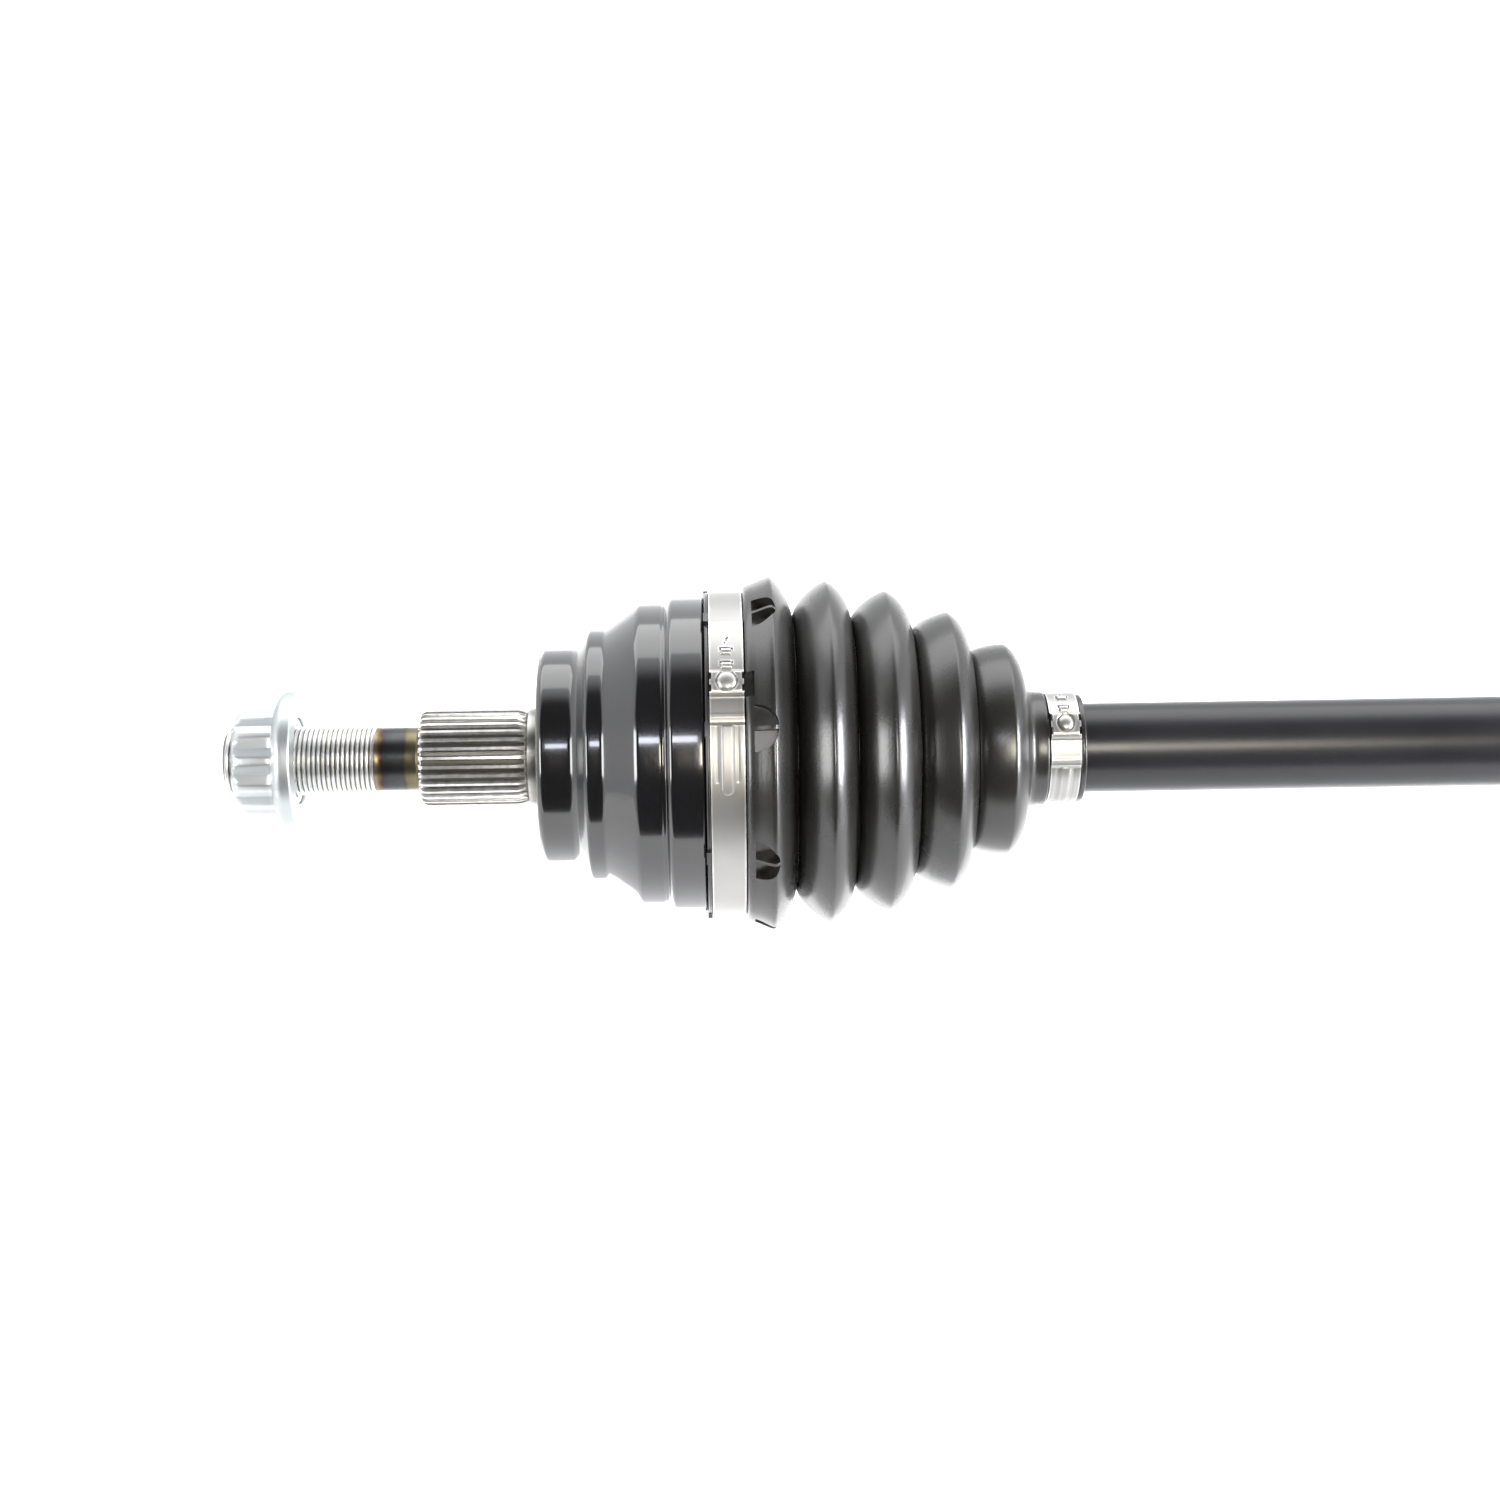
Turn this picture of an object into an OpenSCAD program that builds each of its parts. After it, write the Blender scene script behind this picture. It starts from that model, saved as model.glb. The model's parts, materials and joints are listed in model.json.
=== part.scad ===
// Front wheel drive shaft: fixed ball joint at the wheel hub, bar shaft and plunging tripod joint at the gearbox.
// The axle lies along X. The origin is the centre of the shoulder that bears on the wheel bearing.
// -X points out to the wheel, +X points in to the gearbox, +Z is up.

/* [Hub stub] */
// Diameter of the hub nut thread
thread_d = 22; // [18:0.5:24]
// Length of the hub nut thread
thread_len = 48.5; // [42:0.5:60]
// Diameter of the relief between thread and spline
neck_d = 20.2; // [17:0.2:21]
// Length of the relief between thread and spline
neck_len = 13; // [9:0.5:18]
// Outer diameter of the hub spline
hub_spline_d = 30; // [28:0.2:30]
// Length of the hub spline
hub_spline_len = 34; // [25:0.5:45]
// Teeth of the hub spline
hub_spline_teeth = 32; // [24:1:40]
// Depth of every spline tooth
tooth_depth = 1.1; // [0.6:0.1:1.4]
// Diameter of the bearing land beside the shoulder
land_d = 30.4; // [30.2:0.1:33]
// Length of the bearing land
land_len = 3.8; // [3:0.2:8]

/* [Hub nut] */
// Distance across the points of the nut
nut_d = 34.2; // [30:0.2:38]
// Height of the nut's pointed part
nut_h = 12.6; // [10:0.2:18]
// Diameter of the captive washer
washer_d = 44; // [38:0.5:48]
// Thickness of the captive washer
washer_h = 6.6; // [5:0.2:9]
// Distance from the shoulder to the washer's face
nut_gap = 76.2; // [66:0.2:80]

/* [Outer joint] */
// Distance from the shoulder to the joint's centre
outer_joint_x = 48; // [46:0.5:54]
// Diameter of the six balls
ball_d = 20; // [17:0.5:21]
// Radius of the circle that the balls' centres lie on
ball_circle_r = 31.5; // [31:0.25:33]
// Radius of the spherical bore in the housing
bore_r = 37.6; // [37:0.1:38.5]
// Thickness of the ball cage
cage_wall = 6; // [4.5:0.1:6.5]
// Width of the ball cage along the axle
cage_w = 29; // [27:0.5:31]
// Width of the inner race along the axle
race_w = 25; // [22:0.5:26]

/* [Outer housing shape] */
// Diameter of the shoulder end
bell_neck_d = 68.4; // [60:0.2:72]
// Length of the shoulder end
bell_neck_len = 10.8; // [8:0.2:13]
// Diameter of the raised ring
bell_ring_d = 80.4; // [76:0.2:84]
// Width of the raised ring
bell_ring_w = 4.6; // [3:0.2:6]
// Diameter of the belt behind the cone
bell_belt_d = 96.2; // [92:0.2:98]
// Diameter of the widest belt
bell_rim_d = 99.8; // [98:0.2:106]
// Diameter that the outer boot seats on
bell_seat_d = 96; // [94:0.2:97]
// Distance from the joint's centre to the mouth
bell_mouth = 18; // [16:0.5:19]

/* [Shaft] */
// Diameter of the bar
shaft_d = 28; // [24:0.5:29]
// Diameter of the splined ends
shaft_spline_d = 26; // [22:0.5:26]
// Teeth of the shaft splines
shaft_spline_teeth = 26; // [20:1:32]
// Distance between the two joints' centres
joint_span = 422; // [380:1:620]

/* [Outer boot] */
// Wall of both boots
boot_wall = 2; // [1.4:0.1:2.4]
// Number of folds of the outer boot
outer_folds = 3; // [3:1:4]
// Radius of the outer boot's first fold
outer_fold_r = 53.8; // [50:0.1:54]
// Radius of the outer boot's last fold
outer_fold_end_r = 43.5; // [38:0.1:46]
// Distance between two folds
fold_pitch = 18; // [15:0.2:20]
// Depth of the first fold
fold_depth = 11.8; // [8:0.2:13]

/* [Clamps] */
// Thickness of the clamp bands
band_t = 0.8; // [0.6:0.1:1.2]
// Width of the large bands
large_band_w = 10.2; // [8:0.2:12]
// Width of the small bands
small_band_w = 9.2; // [7:0.2:10]

/* [Inner joint] */
// Radius of the circle that the trunnion heads' centres lie on
trunnion_r = 27; // [26:0.25:28]
// Diameter of the trunnions' round heads
head_d = 19.6; // [18:0.2:20]
// Diameter of the rollers
roller_d = 34.4; // [32:0.2:35]
// Width of the rollers
roller_w = 11; // [9:0.5:12]
// Diameter of the needles
needle_d = 2; // [1.6:0.1:2.2]
// Needles in each roller
needle_count = 36; // [24:1:38]
// Radius of the round bore between the tracks
tulip_bore_r = 27.5; // [27:0.1:28.5]
// Diameter of the inner housing
tulip_d = 85; // [82:0.5:92]
// Plunge to each side of the middle position
plunge = 15; // [10:0.5:16]
// Largest angle of the inner joint
inner_angle = 15; // [10:0.5:15]

/* [Gearbox stub] */
// Diameter of the seal journal
journal_d = 40; // [34:0.5:46]
// Length of the seal journal
journal_len = 18; // [12:0.5:26]
// Outer diameter of the gearbox spline
box_spline_d = 28; // [25:0.5:32]
// Length of the gearbox spline
box_spline_len = 42; // [30:0.5:55]
// Teeth of the gearbox spline
box_spline_teeth = 28; // [22:1:34]

/* [Hidden] */

$fn = 96;
far = 400;              // longer than any cut has to be
fit = 0.03;             // radial clearance of parts fixed in one another
run = 0.05;             // radial clearance of the nut on its thread
sphere_gap = 0.3;       // between the ball joint's spherical faces
ball_window_gap = 0.1;  // between a ball and its window along the axle
window_slack = 2;       // length that a window has beside its ball, each side
groove_gap = 1.3;       // between a ball and its groove
track_gap = 0.15;       // between a roller and its track
head_gap = 0.6;         // between a trunnion head and its inner ring
ring_t = 1.8;           // thickness of the circlips and stop rings
ring_grip = 1.1;        // depth that a ring sits in its groove
ring_proud = 1.6;       // height that a ring stands out of its groove
centre_r = 3;           // radius of the lathe centre marks
centre_depth = 4;       // depth of the lathe centre marks
merge = 0.2;            // overlap of two shapes that are one piece
round_to = 0.6;         // bevel at the ends of the shaft splines

ball_count = 6;
roller_count = 3;

land_x = -land_len;
hub_spline_x = land_x - hub_spline_len;
neck_x = hub_spline_x - neck_len;
stub_end_x = neck_x - thread_len;
spline_round = 2.6;     // rounding at the free end of the hub spline
spline_run_in = 0.4;    // run-in below the teeth at the neck

bell_mouth_x = outer_joint_x + bell_mouth;
bell_corner = 1.8;      // rounding of the shoulder
bell_foot_x = bell_neck_len + 4.9;                   // outboard edge of the raised ring
bell_cone_x = bell_foot_x + bell_ring_w + 0.9;
bell_belt_x = 31.2;
bell_groove_x = 38.4;
bell_rim_x = 40.2;
bell_groove_d = bell_belt_d - 1.6;
bell_seat_x = 52;
cavity_x = 16;          // flat bottom of the housing's bore
groove_swing = 42;      // length of a ball groove to each side of the middle, in degrees
flare_from = 9;         // where the bore begins to flare, from the joint's centre
flare_r = 39.8;         // radius of the flared mouth

cage_outer_r = bore_r - sphere_gap;
cage_inner_r = cage_outer_r - cage_wall;
race_r = cage_inner_r - sphere_gap;
groove_r = ball_d / 2 + groove_gap;

race_x0 = outer_joint_x - race_w / 2;
race_x1 = outer_joint_x + race_w / 2;
shaft_end_overhang = 3.8;                            // bar beyond the race and the spider
shaft_x0 = race_x0 - shaft_end_overhang;
shaft_neck_x = outer_joint_x + 75;                   // where the bar starts to thicken under the outer boot
inner_joint_x = outer_joint_x + joint_span;
spider_w = 22;
spider_hub_r = 16.6;
spider_x0 = inner_joint_x - spider_w / 2;
spider_x1 = inner_joint_x + spider_w / 2;
shaft_x1 = spider_x1 + shaft_end_overhang;
shaft_neck_d = shaft_spline_d - 1;
shaft_taper = 8;

roller_swing = trunnion_r * sin(120) * sin(inner_angle);
roller_room = plunge + roller_swing + roller_d / 2 + 1;
tulip_mouth_x = inner_joint_x - roller_room;
tulip_bottom_x = inner_joint_x + roller_room;
tulip_wall = 8;
tulip_end_x = tulip_bottom_x + tulip_wall;
track_half = roller_d / 2 + track_gap;
track_top = trunnion_r + roller_w / 2 + 1.5;
scallop_r = 16;
scallop_depth = 6.5;
tulip_seat_len = 17;    // round part of the housing that the boot sits on
journal_x = tulip_end_x + 6;
box_spline_x = journal_x + journal_len + 2.5;
box_end_x = box_spline_x + box_spline_len + 3;
box_circlip_x = box_end_x - 9;
box_core_d = box_spline_d - 2 * tooth_depth - 0.6;

trunnion_neck_r = 7.4;
head_flat = 5.4;        // flat end of a trunnion head, from the head's centre
inner_ring_r0 = head_d / 2 + head_gap;
inner_ring_r1 = inner_ring_r0 + 1.8;
needle_gap = 0.1;
needle_circle_r = inner_ring_r1 + needle_d / 2 + needle_gap;
roller_bore_r = needle_circle_r + needle_d / 2 + needle_gap;
retainer_t = 0.8;
inner_ring_w = roller_w + 1;
race_circlip_x = race_x0 - ring_t - fit;
race_stop_x = race_x1 + fit;
spider_stop_x = spider_x0 - ring_t - fit;
spider_circlip_x = spider_x1 + fit;

nut_face_x = -nut_gap;
washer_x = nut_face_x - washer_h;
nut_top_x = washer_x - nut_h;
nut_seat_gap = 0.2;
skirt_r = thread_d / 2 + 1.6;
skirt_gap = 0.3;
skirt_lip = 0.6;
skirt_lip_h = 1.1;
nut_bore_r = thread_d / 2 + run;

boot_lip_x = bell_seat_x - 0.6;
boot_lip_w = 1.4;
lip_gap = 0.3;          // from the housing's rim to the lip
end_bead = 0.9;         // height of the bead at a boot's small end
boot_lip_r = bell_rim_d / 2 + 1.5;
large_band_x = boot_lip_x + boot_lip_w + 0.1;
boot_seat_r = bell_seat_d / 2 + fit;
boot_band_r = boot_seat_r + boot_wall;
boot_shoulder_x = large_band_x + large_band_w + 1.8;
boot_shoulder_r = boot_band_r + 2.6;
boot_brow_r = boot_shoulder_r + 2.8;
boot_brow_x = boot_shoulder_x + 7;
outer_valley_x = boot_brow_x + 7.6;
outer_bead_x = outer_valley_x + outer_folds * fold_pitch + 1.4;
outer_bead_r = 33.1;
outer_collar_x = outer_bead_x + 19;
small_band_x = outer_collar_x + 4;
outer_boot_x1 = small_band_x + small_band_w + 2;
small_seat_r = shaft_d / 2 + fit;
small_boot_r = small_seat_r + boot_wall;
collar_r = small_boot_r + 1.9;

inner_band_x = tulip_mouth_x + 4;
inner_boot_x1 = inner_band_x + large_band_w + 2.5;
inner_seat_r = tulip_d / 2 + fit;
inner_fold_x = tulip_mouth_x - 4;
inner_folds = 5;
inner_fold_pitch = 13;
inner_fold_r = 45;
inner_fold_end_r = 26;
inner_fold_depth = 8.2;
inner_fold_end_x = inner_fold_x - inner_folds * inner_fold_pitch;
inner_small_x = inner_fold_end_x - 5 - small_band_w;
inner_boot_x0 = inner_small_x - 2;

ear_len = 5;
ear_h = 2.4;
ear_w_share = 0.82;
ear_angle = 26;         // height of the clamp ears above the level of the axle

// Lays a shape that was made along Z along the axle, from x on.
module along_x(x = 0) {
    translate([x, 0, 0])
        rotate([0, 90, 0])
            children();
}

// A turned part: points are [radius, x].
module turned(points) {
    along_x()
        rotate_extrude()
            polygon(points);
}

// A round bar from x0 to x1.
module bar(x0, x1, d) {
    along_x(x0)
        cylinder(d = d, h = x1 - x0);
}

// A ring from x0 to x1.
module ring(x0, x1, r0, r1) {
    turned([[r0, x0], [r1, x0], [r1, x1], [r0, x1]]);
}

// Turns what is on the +Z axis to the place of ball or trunnion i of n.
module around_axle(i, n) {
    rotate([360 / n * (i - 1), 0, 0])
        children();
}

function polar(r, a) = [r * cos(a), r * sin(a)];

// Outline of a spline: straight-flanked teeth that narrow towards their tips.
function spline_outline(d, teeth, depth) = [
    for (i = [0 : teeth - 1], s = [-1, 1])
        for (p = s < 0 ? [0, 1] : [1, 0])
            polar(d / 2 - (1 - p) * depth, 360 / teeth * (i + s * (p == 0 ? 0.3 : 0.17)))
];

module spline(x0, x1, d, teeth, depth) {
    along_x(x0)
        linear_extrude(x1 - x0)
            polygon(spline_outline(d, teeth, depth));
}

// Points of a quarter round from angle a0 to a1 about [r, x].
function round_points(r, x, radius, a0, a1, steps = 4) = [
    for (i = [0 : steps])
        let (a = a0 + (a1 - a0) * i / steps)
        [r + radius * cos(a), x + radius * sin(a)]
];

// One smooth step of a bellows from point a to point b, without its last point.
function swell(a, b, steps = 6) = [
    for (i = [0 : steps - 1])
        let (t = i / steps, s = (1 - cos(180 * t)) / 2)
        [a[0] + (b[0] - a[0]) * s, a[1] + (b[1] - a[1]) * t]
];

// Bellows outline through a list of crests and valleys.
function bellows(points) = [
    for (i = [0 : len(points) - 2])
        for (p = swell(points[i], points[i + 1]))
            p,
    points[len(points) - 1]
];

function thinned(points, t) = [for (p = points) [p[0] - t, p[1]]];

function reversed(points) = [for (i = [len(points) - 1 : -1 : 0]) points[i]];

// ---------------------------------------------------------------- outer joint

function bell_outline() = concat(
    [[land_d / 2, 0], [bell_neck_d / 2 - bell_corner, 0]],
    round_points(bell_neck_d / 2 - bell_corner, bell_corner, bell_corner, -60, 0, 2),
    [
        [bell_neck_d / 2, bell_neck_len],
        [bell_neck_d / 2 + 1.2, bell_neck_len + 0.4],
        [bell_ring_d / 2 - 1.4, bell_foot_x - 0.8],
        [bell_ring_d / 2, bell_foot_x],
        [bell_ring_d / 2, bell_foot_x + bell_ring_w],
        [bell_ring_d / 2 - 0.4, bell_foot_x + bell_ring_w + 0.4],
        [bell_ring_d / 2 + 0.8, bell_cone_x],
        [bell_belt_d / 2 - 0.6, bell_belt_x - 0.6],
        [bell_belt_d / 2, bell_belt_x],
        [bell_belt_d / 2, bell_groove_x],
        [bell_groove_d / 2, bell_groove_x + 0.5],
        [bell_groove_d / 2, bell_rim_x - 0.6],
        [bell_rim_d / 2, bell_rim_x + 0.3],
        [bell_rim_d / 2, bell_seat_x - 0.8],
        [bell_seat_d / 2, bell_seat_x - 0.7],
        [bell_seat_d / 2, bell_mouth_x - 1],
        [bell_seat_d / 2 - 1, bell_mouth_x]
    ]
);

// A ball-shaped bore with a flat bottom, and a mouth that flares past the middle.
module bell_cavity() {
    run_in = flare_from - 5;
    slope = (flare_r - sqrt(pow(bore_r, 2) - pow(flare_from, 2))) / (bell_mouth - flare_from);
    intersection() {
        translate([outer_joint_x, 0, 0])
            sphere(r = bore_r);
        bar(cavity_x, bell_mouth_x + 1, 2 * far);
    }
    turned([
        [0, outer_joint_x + run_in],
        [flare_r - slope * (bell_mouth - run_in), outer_joint_x + run_in],
        [flare_r + slope, bell_mouth_x + 1],
        [0, bell_mouth_x + 1]
    ]);
}

// The curved path of one ball, swung about the joint's centre to both sides of the middle.
module ball_groove(i) {
    translate([outer_joint_x, 0, 0])
        around_axle(i, ball_count)
            rotate([90, 0, 0])
                rotate([0, 0, 90 - groove_swing])
                    rotate_extrude(angle = 2 * groove_swing)
                        translate([ball_circle_r, 0])
                            circle(r = groove_r);
}

function stub_outline() =
    let (core_r = hub_spline_d / 2 - tooth_depth - spline_run_in)
    [
        [0, stub_end_x + centre_depth],
        [centre_r, stub_end_x],
        [thread_d / 2 - 1.4, stub_end_x],
        [thread_d / 2, stub_end_x + 1.4],
        [thread_d / 2, neck_x - 1],
        [neck_d / 2, neck_x],
        [neck_d / 2, hub_spline_x],
        [core_r, hub_spline_x + spline_run_in],
        [core_r, land_x],
        [land_d / 2, land_x]
    ];

// The teeth are cut off round at their free end.
module hub_spline() {
    tip_r = hub_spline_d / 2 + 2 * merge;
    intersection() {
        spline(hub_spline_x, land_x + merge, hub_spline_d, hub_spline_teeth, tooth_depth);
        turned(concat(
            [[0, hub_spline_x]],
            round_points(tip_r - spline_round, hub_spline_x + spline_round, spline_round, -80, 0),
            [[tip_r, land_x + 1], [0, land_x + 1]]
        ));
    }
}

module outer_joint_housing() {
    color([0.05, 0.05, 0.055]) {
        difference() {
            turned(concat(stub_outline(), bell_outline(), [[0, bell_mouth_x]]));
            bell_cavity();
            for (i = [1 : ball_count])
                ball_groove(i);
        }
        hub_spline();
    }
}

module outer_cage() {
    color([0.55, 0.55, 0.56])
        difference() {
            intersection() {
                translate([outer_joint_x, 0, 0])
                    sphere(r = cage_outer_r);
                bar(outer_joint_x - cage_w / 2, outer_joint_x + cage_w / 2, 2 * far);
            }
            translate([outer_joint_x, 0, 0])
                sphere(r = cage_inner_r);
            for (i = [1 : ball_count])
                translate([outer_joint_x, 0, 0])
                    around_axle(i, ball_count)
                        cage_window();
        }
}

// A window is as wide as its ball along the axle and longer than it around the cage.
module cage_window() {
    w = ball_d + 2 * ball_window_gap;
    translate([-w / 2, -ball_d / 2 - window_slack, cage_inner_r - 1.3 * cage_wall])
        cube([w, ball_d + 2 * window_slack, 3.3 * cage_wall]);
}

module ball(i) {
    color([0.8, 0.8, 0.82])
        translate([outer_joint_x, 0, 0])
            around_axle(i, ball_count)
                translate([0, 0, ball_circle_r])
                    sphere(d = ball_d);
}

module outer_inner_race() {
    color([0.6, 0.6, 0.61])
        difference() {
            intersection() {
                translate([outer_joint_x, 0, 0])
                    sphere(r = race_r);
                bar(race_x0, race_x1, 2 * far);
            }
            for (i = [1 : ball_count])
                ball_groove(i);
            shaft_socket(race_x0 - 1, race_x1 + 1);
        }
}

// The splined hole that takes an end of the bar.
module shaft_socket(x0, x1) {
    spline(x0, x1, shaft_spline_d + 2 * fit, shaft_spline_teeth, tooth_depth);
}

// A split ring with its gap at the bottom.
module snap_ring(x0, shaft_surface_d) {
    split = 4;
    difference() {
        ring(
            x0, x0 + ring_t,
            shaft_surface_d / 2 - ring_grip + fit,
            shaft_surface_d / 2 + ring_proud
        );
        translate([x0 - 1, -split / 2, -far])
            cube([ring_t + 2, split, far]);
    }
}

module ring_groove(x0, shaft_surface_d) {
    ring(x0 - fit, x0 + ring_t + fit, shaft_surface_d / 2 - ring_grip, shaft_surface_d);
}

module race_circlip() {
    color([0.3, 0.3, 0.32])
        snap_ring(race_circlip_x, shaft_spline_d);
}

module race_stop_ring() {
    color([0.3, 0.3, 0.32])
        snap_ring(race_stop_x, shaft_spline_d);
}

// ---------------------------------------------------------------- shaft

module axle_shaft() {
    color([0.06, 0.06, 0.065])
        difference() {
            union() {
                spline(
                    shaft_x0 + 1, race_x1 + ring_t + 2, shaft_spline_d, shaft_spline_teeth, tooth_depth
                );
                spline(
                    spider_x0 - ring_t - 2, shaft_x1 - 1, shaft_spline_d, shaft_spline_teeth, tooth_depth
                );
                turned(shaft_outline());
            }
            ring_groove(race_circlip_x, shaft_spline_d);
            ring_groove(race_stop_x, shaft_spline_d);
            ring_groove(spider_circlip_x, shaft_spline_d);
            ring_groove(spider_stop_x, shaft_spline_d);
        }
}

function shaft_outline() =
    let (
        core_r = shaft_spline_d / 2 - tooth_depth,
        thin_x = inner_fold_end_x + shaft_taper
    )
    [
        [0, shaft_x0 + centre_depth],
        [centre_r, shaft_x0],
        [core_r - round_to, shaft_x0],
        [core_r, shaft_x0 + round_to],
        [core_r, race_x1 + ring_t + 1],
        [shaft_neck_d / 2, race_x1 + ring_t + 1.5],
        [shaft_neck_d / 2, shaft_neck_x],
        [shaft_d / 2, shaft_neck_x + shaft_taper],
        [shaft_d / 2, thin_x - shaft_taper],
        [shaft_neck_d / 2, thin_x],
        [shaft_neck_d / 2, spider_x0 - ring_t - 1.5],
        [core_r, spider_x0 - ring_t - 1],
        [core_r, shaft_x1 - round_to],
        [core_r - round_to, shaft_x1],
        [centre_r, shaft_x1],
        [0, shaft_x1 - centre_depth]
    ];

// ---------------------------------------------------------------- inner joint

module tripod_spider() {
    color([0.58, 0.58, 0.6])
        difference() {
            union() {
                bar(spider_x0, spider_x1, 2 * spider_hub_r);
                for (i = [1 : roller_count])
                    translate([inner_joint_x, 0, 0])
                        around_axle(i, roller_count)
                            trunnion();
            }
            shaft_socket(spider_x0 - 1, spider_x1 + 1);
        }
}

// A trunnion has a short neck and a round head that tilts in its inner ring.
module trunnion() {
    root = 4;
    translate([0, 0, spider_hub_r - root])
        cylinder(r = trunnion_neck_r, h = trunnion_r - spider_hub_r + root);
    intersection() {
        translate([0, 0, trunnion_r])
            sphere(d = head_d);
        translate([0, 0, trunnion_r - head_d])
            cylinder(r = head_d, h = head_d + head_flat);
    }
}

module spider_circlip() {
    color([0.3, 0.3, 0.32])
        snap_ring(spider_circlip_x, shaft_spline_d);
}

module spider_stop_ring() {
    color([0.3, 0.3, 0.32])
        snap_ring(spider_stop_x, shaft_spline_d);
}

// Puts a roller part that was made along Z, middle at 0, on trunnion i.
module on_trunnion(i) {
    translate([inner_joint_x, 0, 0])
        around_axle(i, roller_count)
            translate([0, 0, trunnion_r])
                children();
}

// A hollow round with its middle at 0.
module hoop(r0, r1, w) {
    rotate_extrude()
        polygon([[r0, -w / 2], [r1, -w / 2], [r1, w / 2], [r0, w / 2]]);
}

module roller_inner_ring(i) {
    color([0.65, 0.65, 0.66])
        on_trunnion(i)
            hoop(inner_ring_r0, inner_ring_r1, inner_ring_w);
}

module roller_needles(i) {
    needle_len = roller_w - 2 * retainer_t - 0.6;
    color([0.8, 0.8, 0.82])
        on_trunnion(i)
            for (n = [0 : needle_count - 1])
                rotate([0, 0, 360 / needle_count * n])
                    translate([needle_circle_r, 0, -needle_len / 2])
                        cylinder(d = needle_d, h = needle_len, $fn = 24);
}

module roller_retainers(i) {
    shift = (roller_w - retainer_t) / 2;
    clear = 0.1;
    color([0.4, 0.4, 0.42])
        on_trunnion(i)
            for (side = [-1, 1])
                translate([0, 0, side * shift])
                    hoop(inner_ring_r1 + fit, roller_bore_r - clear, retainer_t);
}

module tripod_roller(i) {
    bevel = 1;
    w = roller_w / 2;
    r = roller_d / 2;
    color([0.7, 0.7, 0.72])
        on_trunnion(i)
            rotate_extrude()
                polygon([
                    [roller_bore_r, -w],
                    [r - bevel, -w],
                    [r, bevel - w],
                    [r, w - bevel],
                    [r - bevel, w],
                    [roller_bore_r, w]
                ]);
}

module inner_joint_housing() {
    mouth_flare = 2.5;
    flare_len = 5;
    color([0.07, 0.07, 0.075])
        difference() {
            union() {
                turned(tulip_outline());
                spline(
                    box_spline_x, box_end_x - 3, box_spline_d, box_spline_teeth, tooth_depth
                );
            }
            bar(tulip_mouth_x - 1, tulip_bottom_x, 2 * tulip_bore_r);
            turned([
                [0, tulip_mouth_x - 1],
                [tulip_bore_r + mouth_flare, tulip_mouth_x - 1],
                [tulip_bore_r + mouth_flare, tulip_mouth_x],
                [tulip_bore_r - 0.1, tulip_mouth_x + flare_len],
                [0, tulip_mouth_x + flare_len]
            ]);
            for (i = [1 : roller_count]) {
                around_axle(i, roller_count)
                    roller_track();
                rotate([60, 0, 0])
                    around_axle(i, roller_count)
                        scallop();
            }
            ring_groove(box_circlip_x, box_spline_d);
        }
}

module roller_track() {
    translate([tulip_mouth_x - 1, -track_half, 0])
        cube([tulip_bottom_x - tulip_mouth_x + 1, 2 * track_half, track_top]);
}

// A long hollow between two tracks, which saves weight on the outside.
module scallop() {
    x0 = tulip_mouth_x + tulip_seat_len;
    translate([0, 0, tulip_d / 2 + scallop_r - scallop_depth])
        bar(x0, tulip_end_x + 1, 2 * scallop_r);
}

function tulip_outline() = [
    [0, tulip_mouth_x],
    [tulip_d / 2 - 0.8, tulip_mouth_x],
    [tulip_d / 2, tulip_mouth_x + 0.8],
    [tulip_d / 2, tulip_end_x - 5],
    [tulip_d / 2 - 5, tulip_end_x],
    [journal_d / 2 + 3, journal_x - 2],
    [journal_d / 2 + 3, journal_x],
    [journal_d / 2, journal_x],
    [journal_d / 2, journal_x + journal_len - 1.5],
    [journal_d / 2 - 1.5, journal_x + journal_len],
    [box_core_d / 2, journal_x + journal_len],
    [box_core_d / 2, box_end_x - 3],
    [box_core_d / 2 - 2.5, box_end_x],
    [centre_r, box_end_x],
    [0, box_end_x - centre_depth]
];

module gearbox_circlip() {
    color([0.3, 0.3, 0.32])
        snap_ring(box_circlip_x, box_spline_d);
}

// ---------------------------------------------------------------- boots

function outer_crest(i) = [
    outer_fold_r + (outer_fold_end_r - outer_fold_r) * i / (outer_folds - 1),
    outer_valley_x + (i + 0.58) * fold_pitch
];

function outer_valley(i) = [
    outer_fold_r - fold_depth + (outer_fold_end_r - outer_fold_r) * 1.1 * i / outer_folds,
    outer_valley_x + i * fold_pitch
];

function outer_boot_folds() = concat(
    [[boot_shoulder_r, boot_shoulder_x], [boot_brow_r, boot_brow_x]],
    [for (i = [0 : outer_folds - 1]) each [outer_valley(i), outer_crest(i)]],
    [
        outer_valley(outer_folds),
        [outer_bead_r, outer_bead_x + 8],
        [collar_r, outer_collar_x]
    ]
);

module outer_boot() {
    folds = bellows(outer_boot_folds());
    color([0.09, 0.09, 0.095])
        turned(concat(
            [
                [boot_seat_r, boot_lip_x + lip_gap],
                [boot_lip_r, boot_lip_x + lip_gap],
                [boot_lip_r, boot_lip_x + boot_lip_w],
                [boot_band_r, boot_lip_x + boot_lip_w],
                [boot_band_r, boot_shoulder_x]
            ],
            folds,
            [
                [small_boot_r, small_band_x - 0.1],
                [small_boot_r, small_band_x + small_band_w + 0.1],
                [small_boot_r + end_bead, small_band_x + small_band_w + 0.3],
                [small_boot_r + end_bead, outer_boot_x1],
                [small_seat_r, outer_boot_x1],
                [small_seat_r, outer_collar_x + 3]
            ],
            reversed(thinned(folds, boot_wall)),
            [[boot_seat_r, boot_shoulder_x]]
        ));
}

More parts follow.
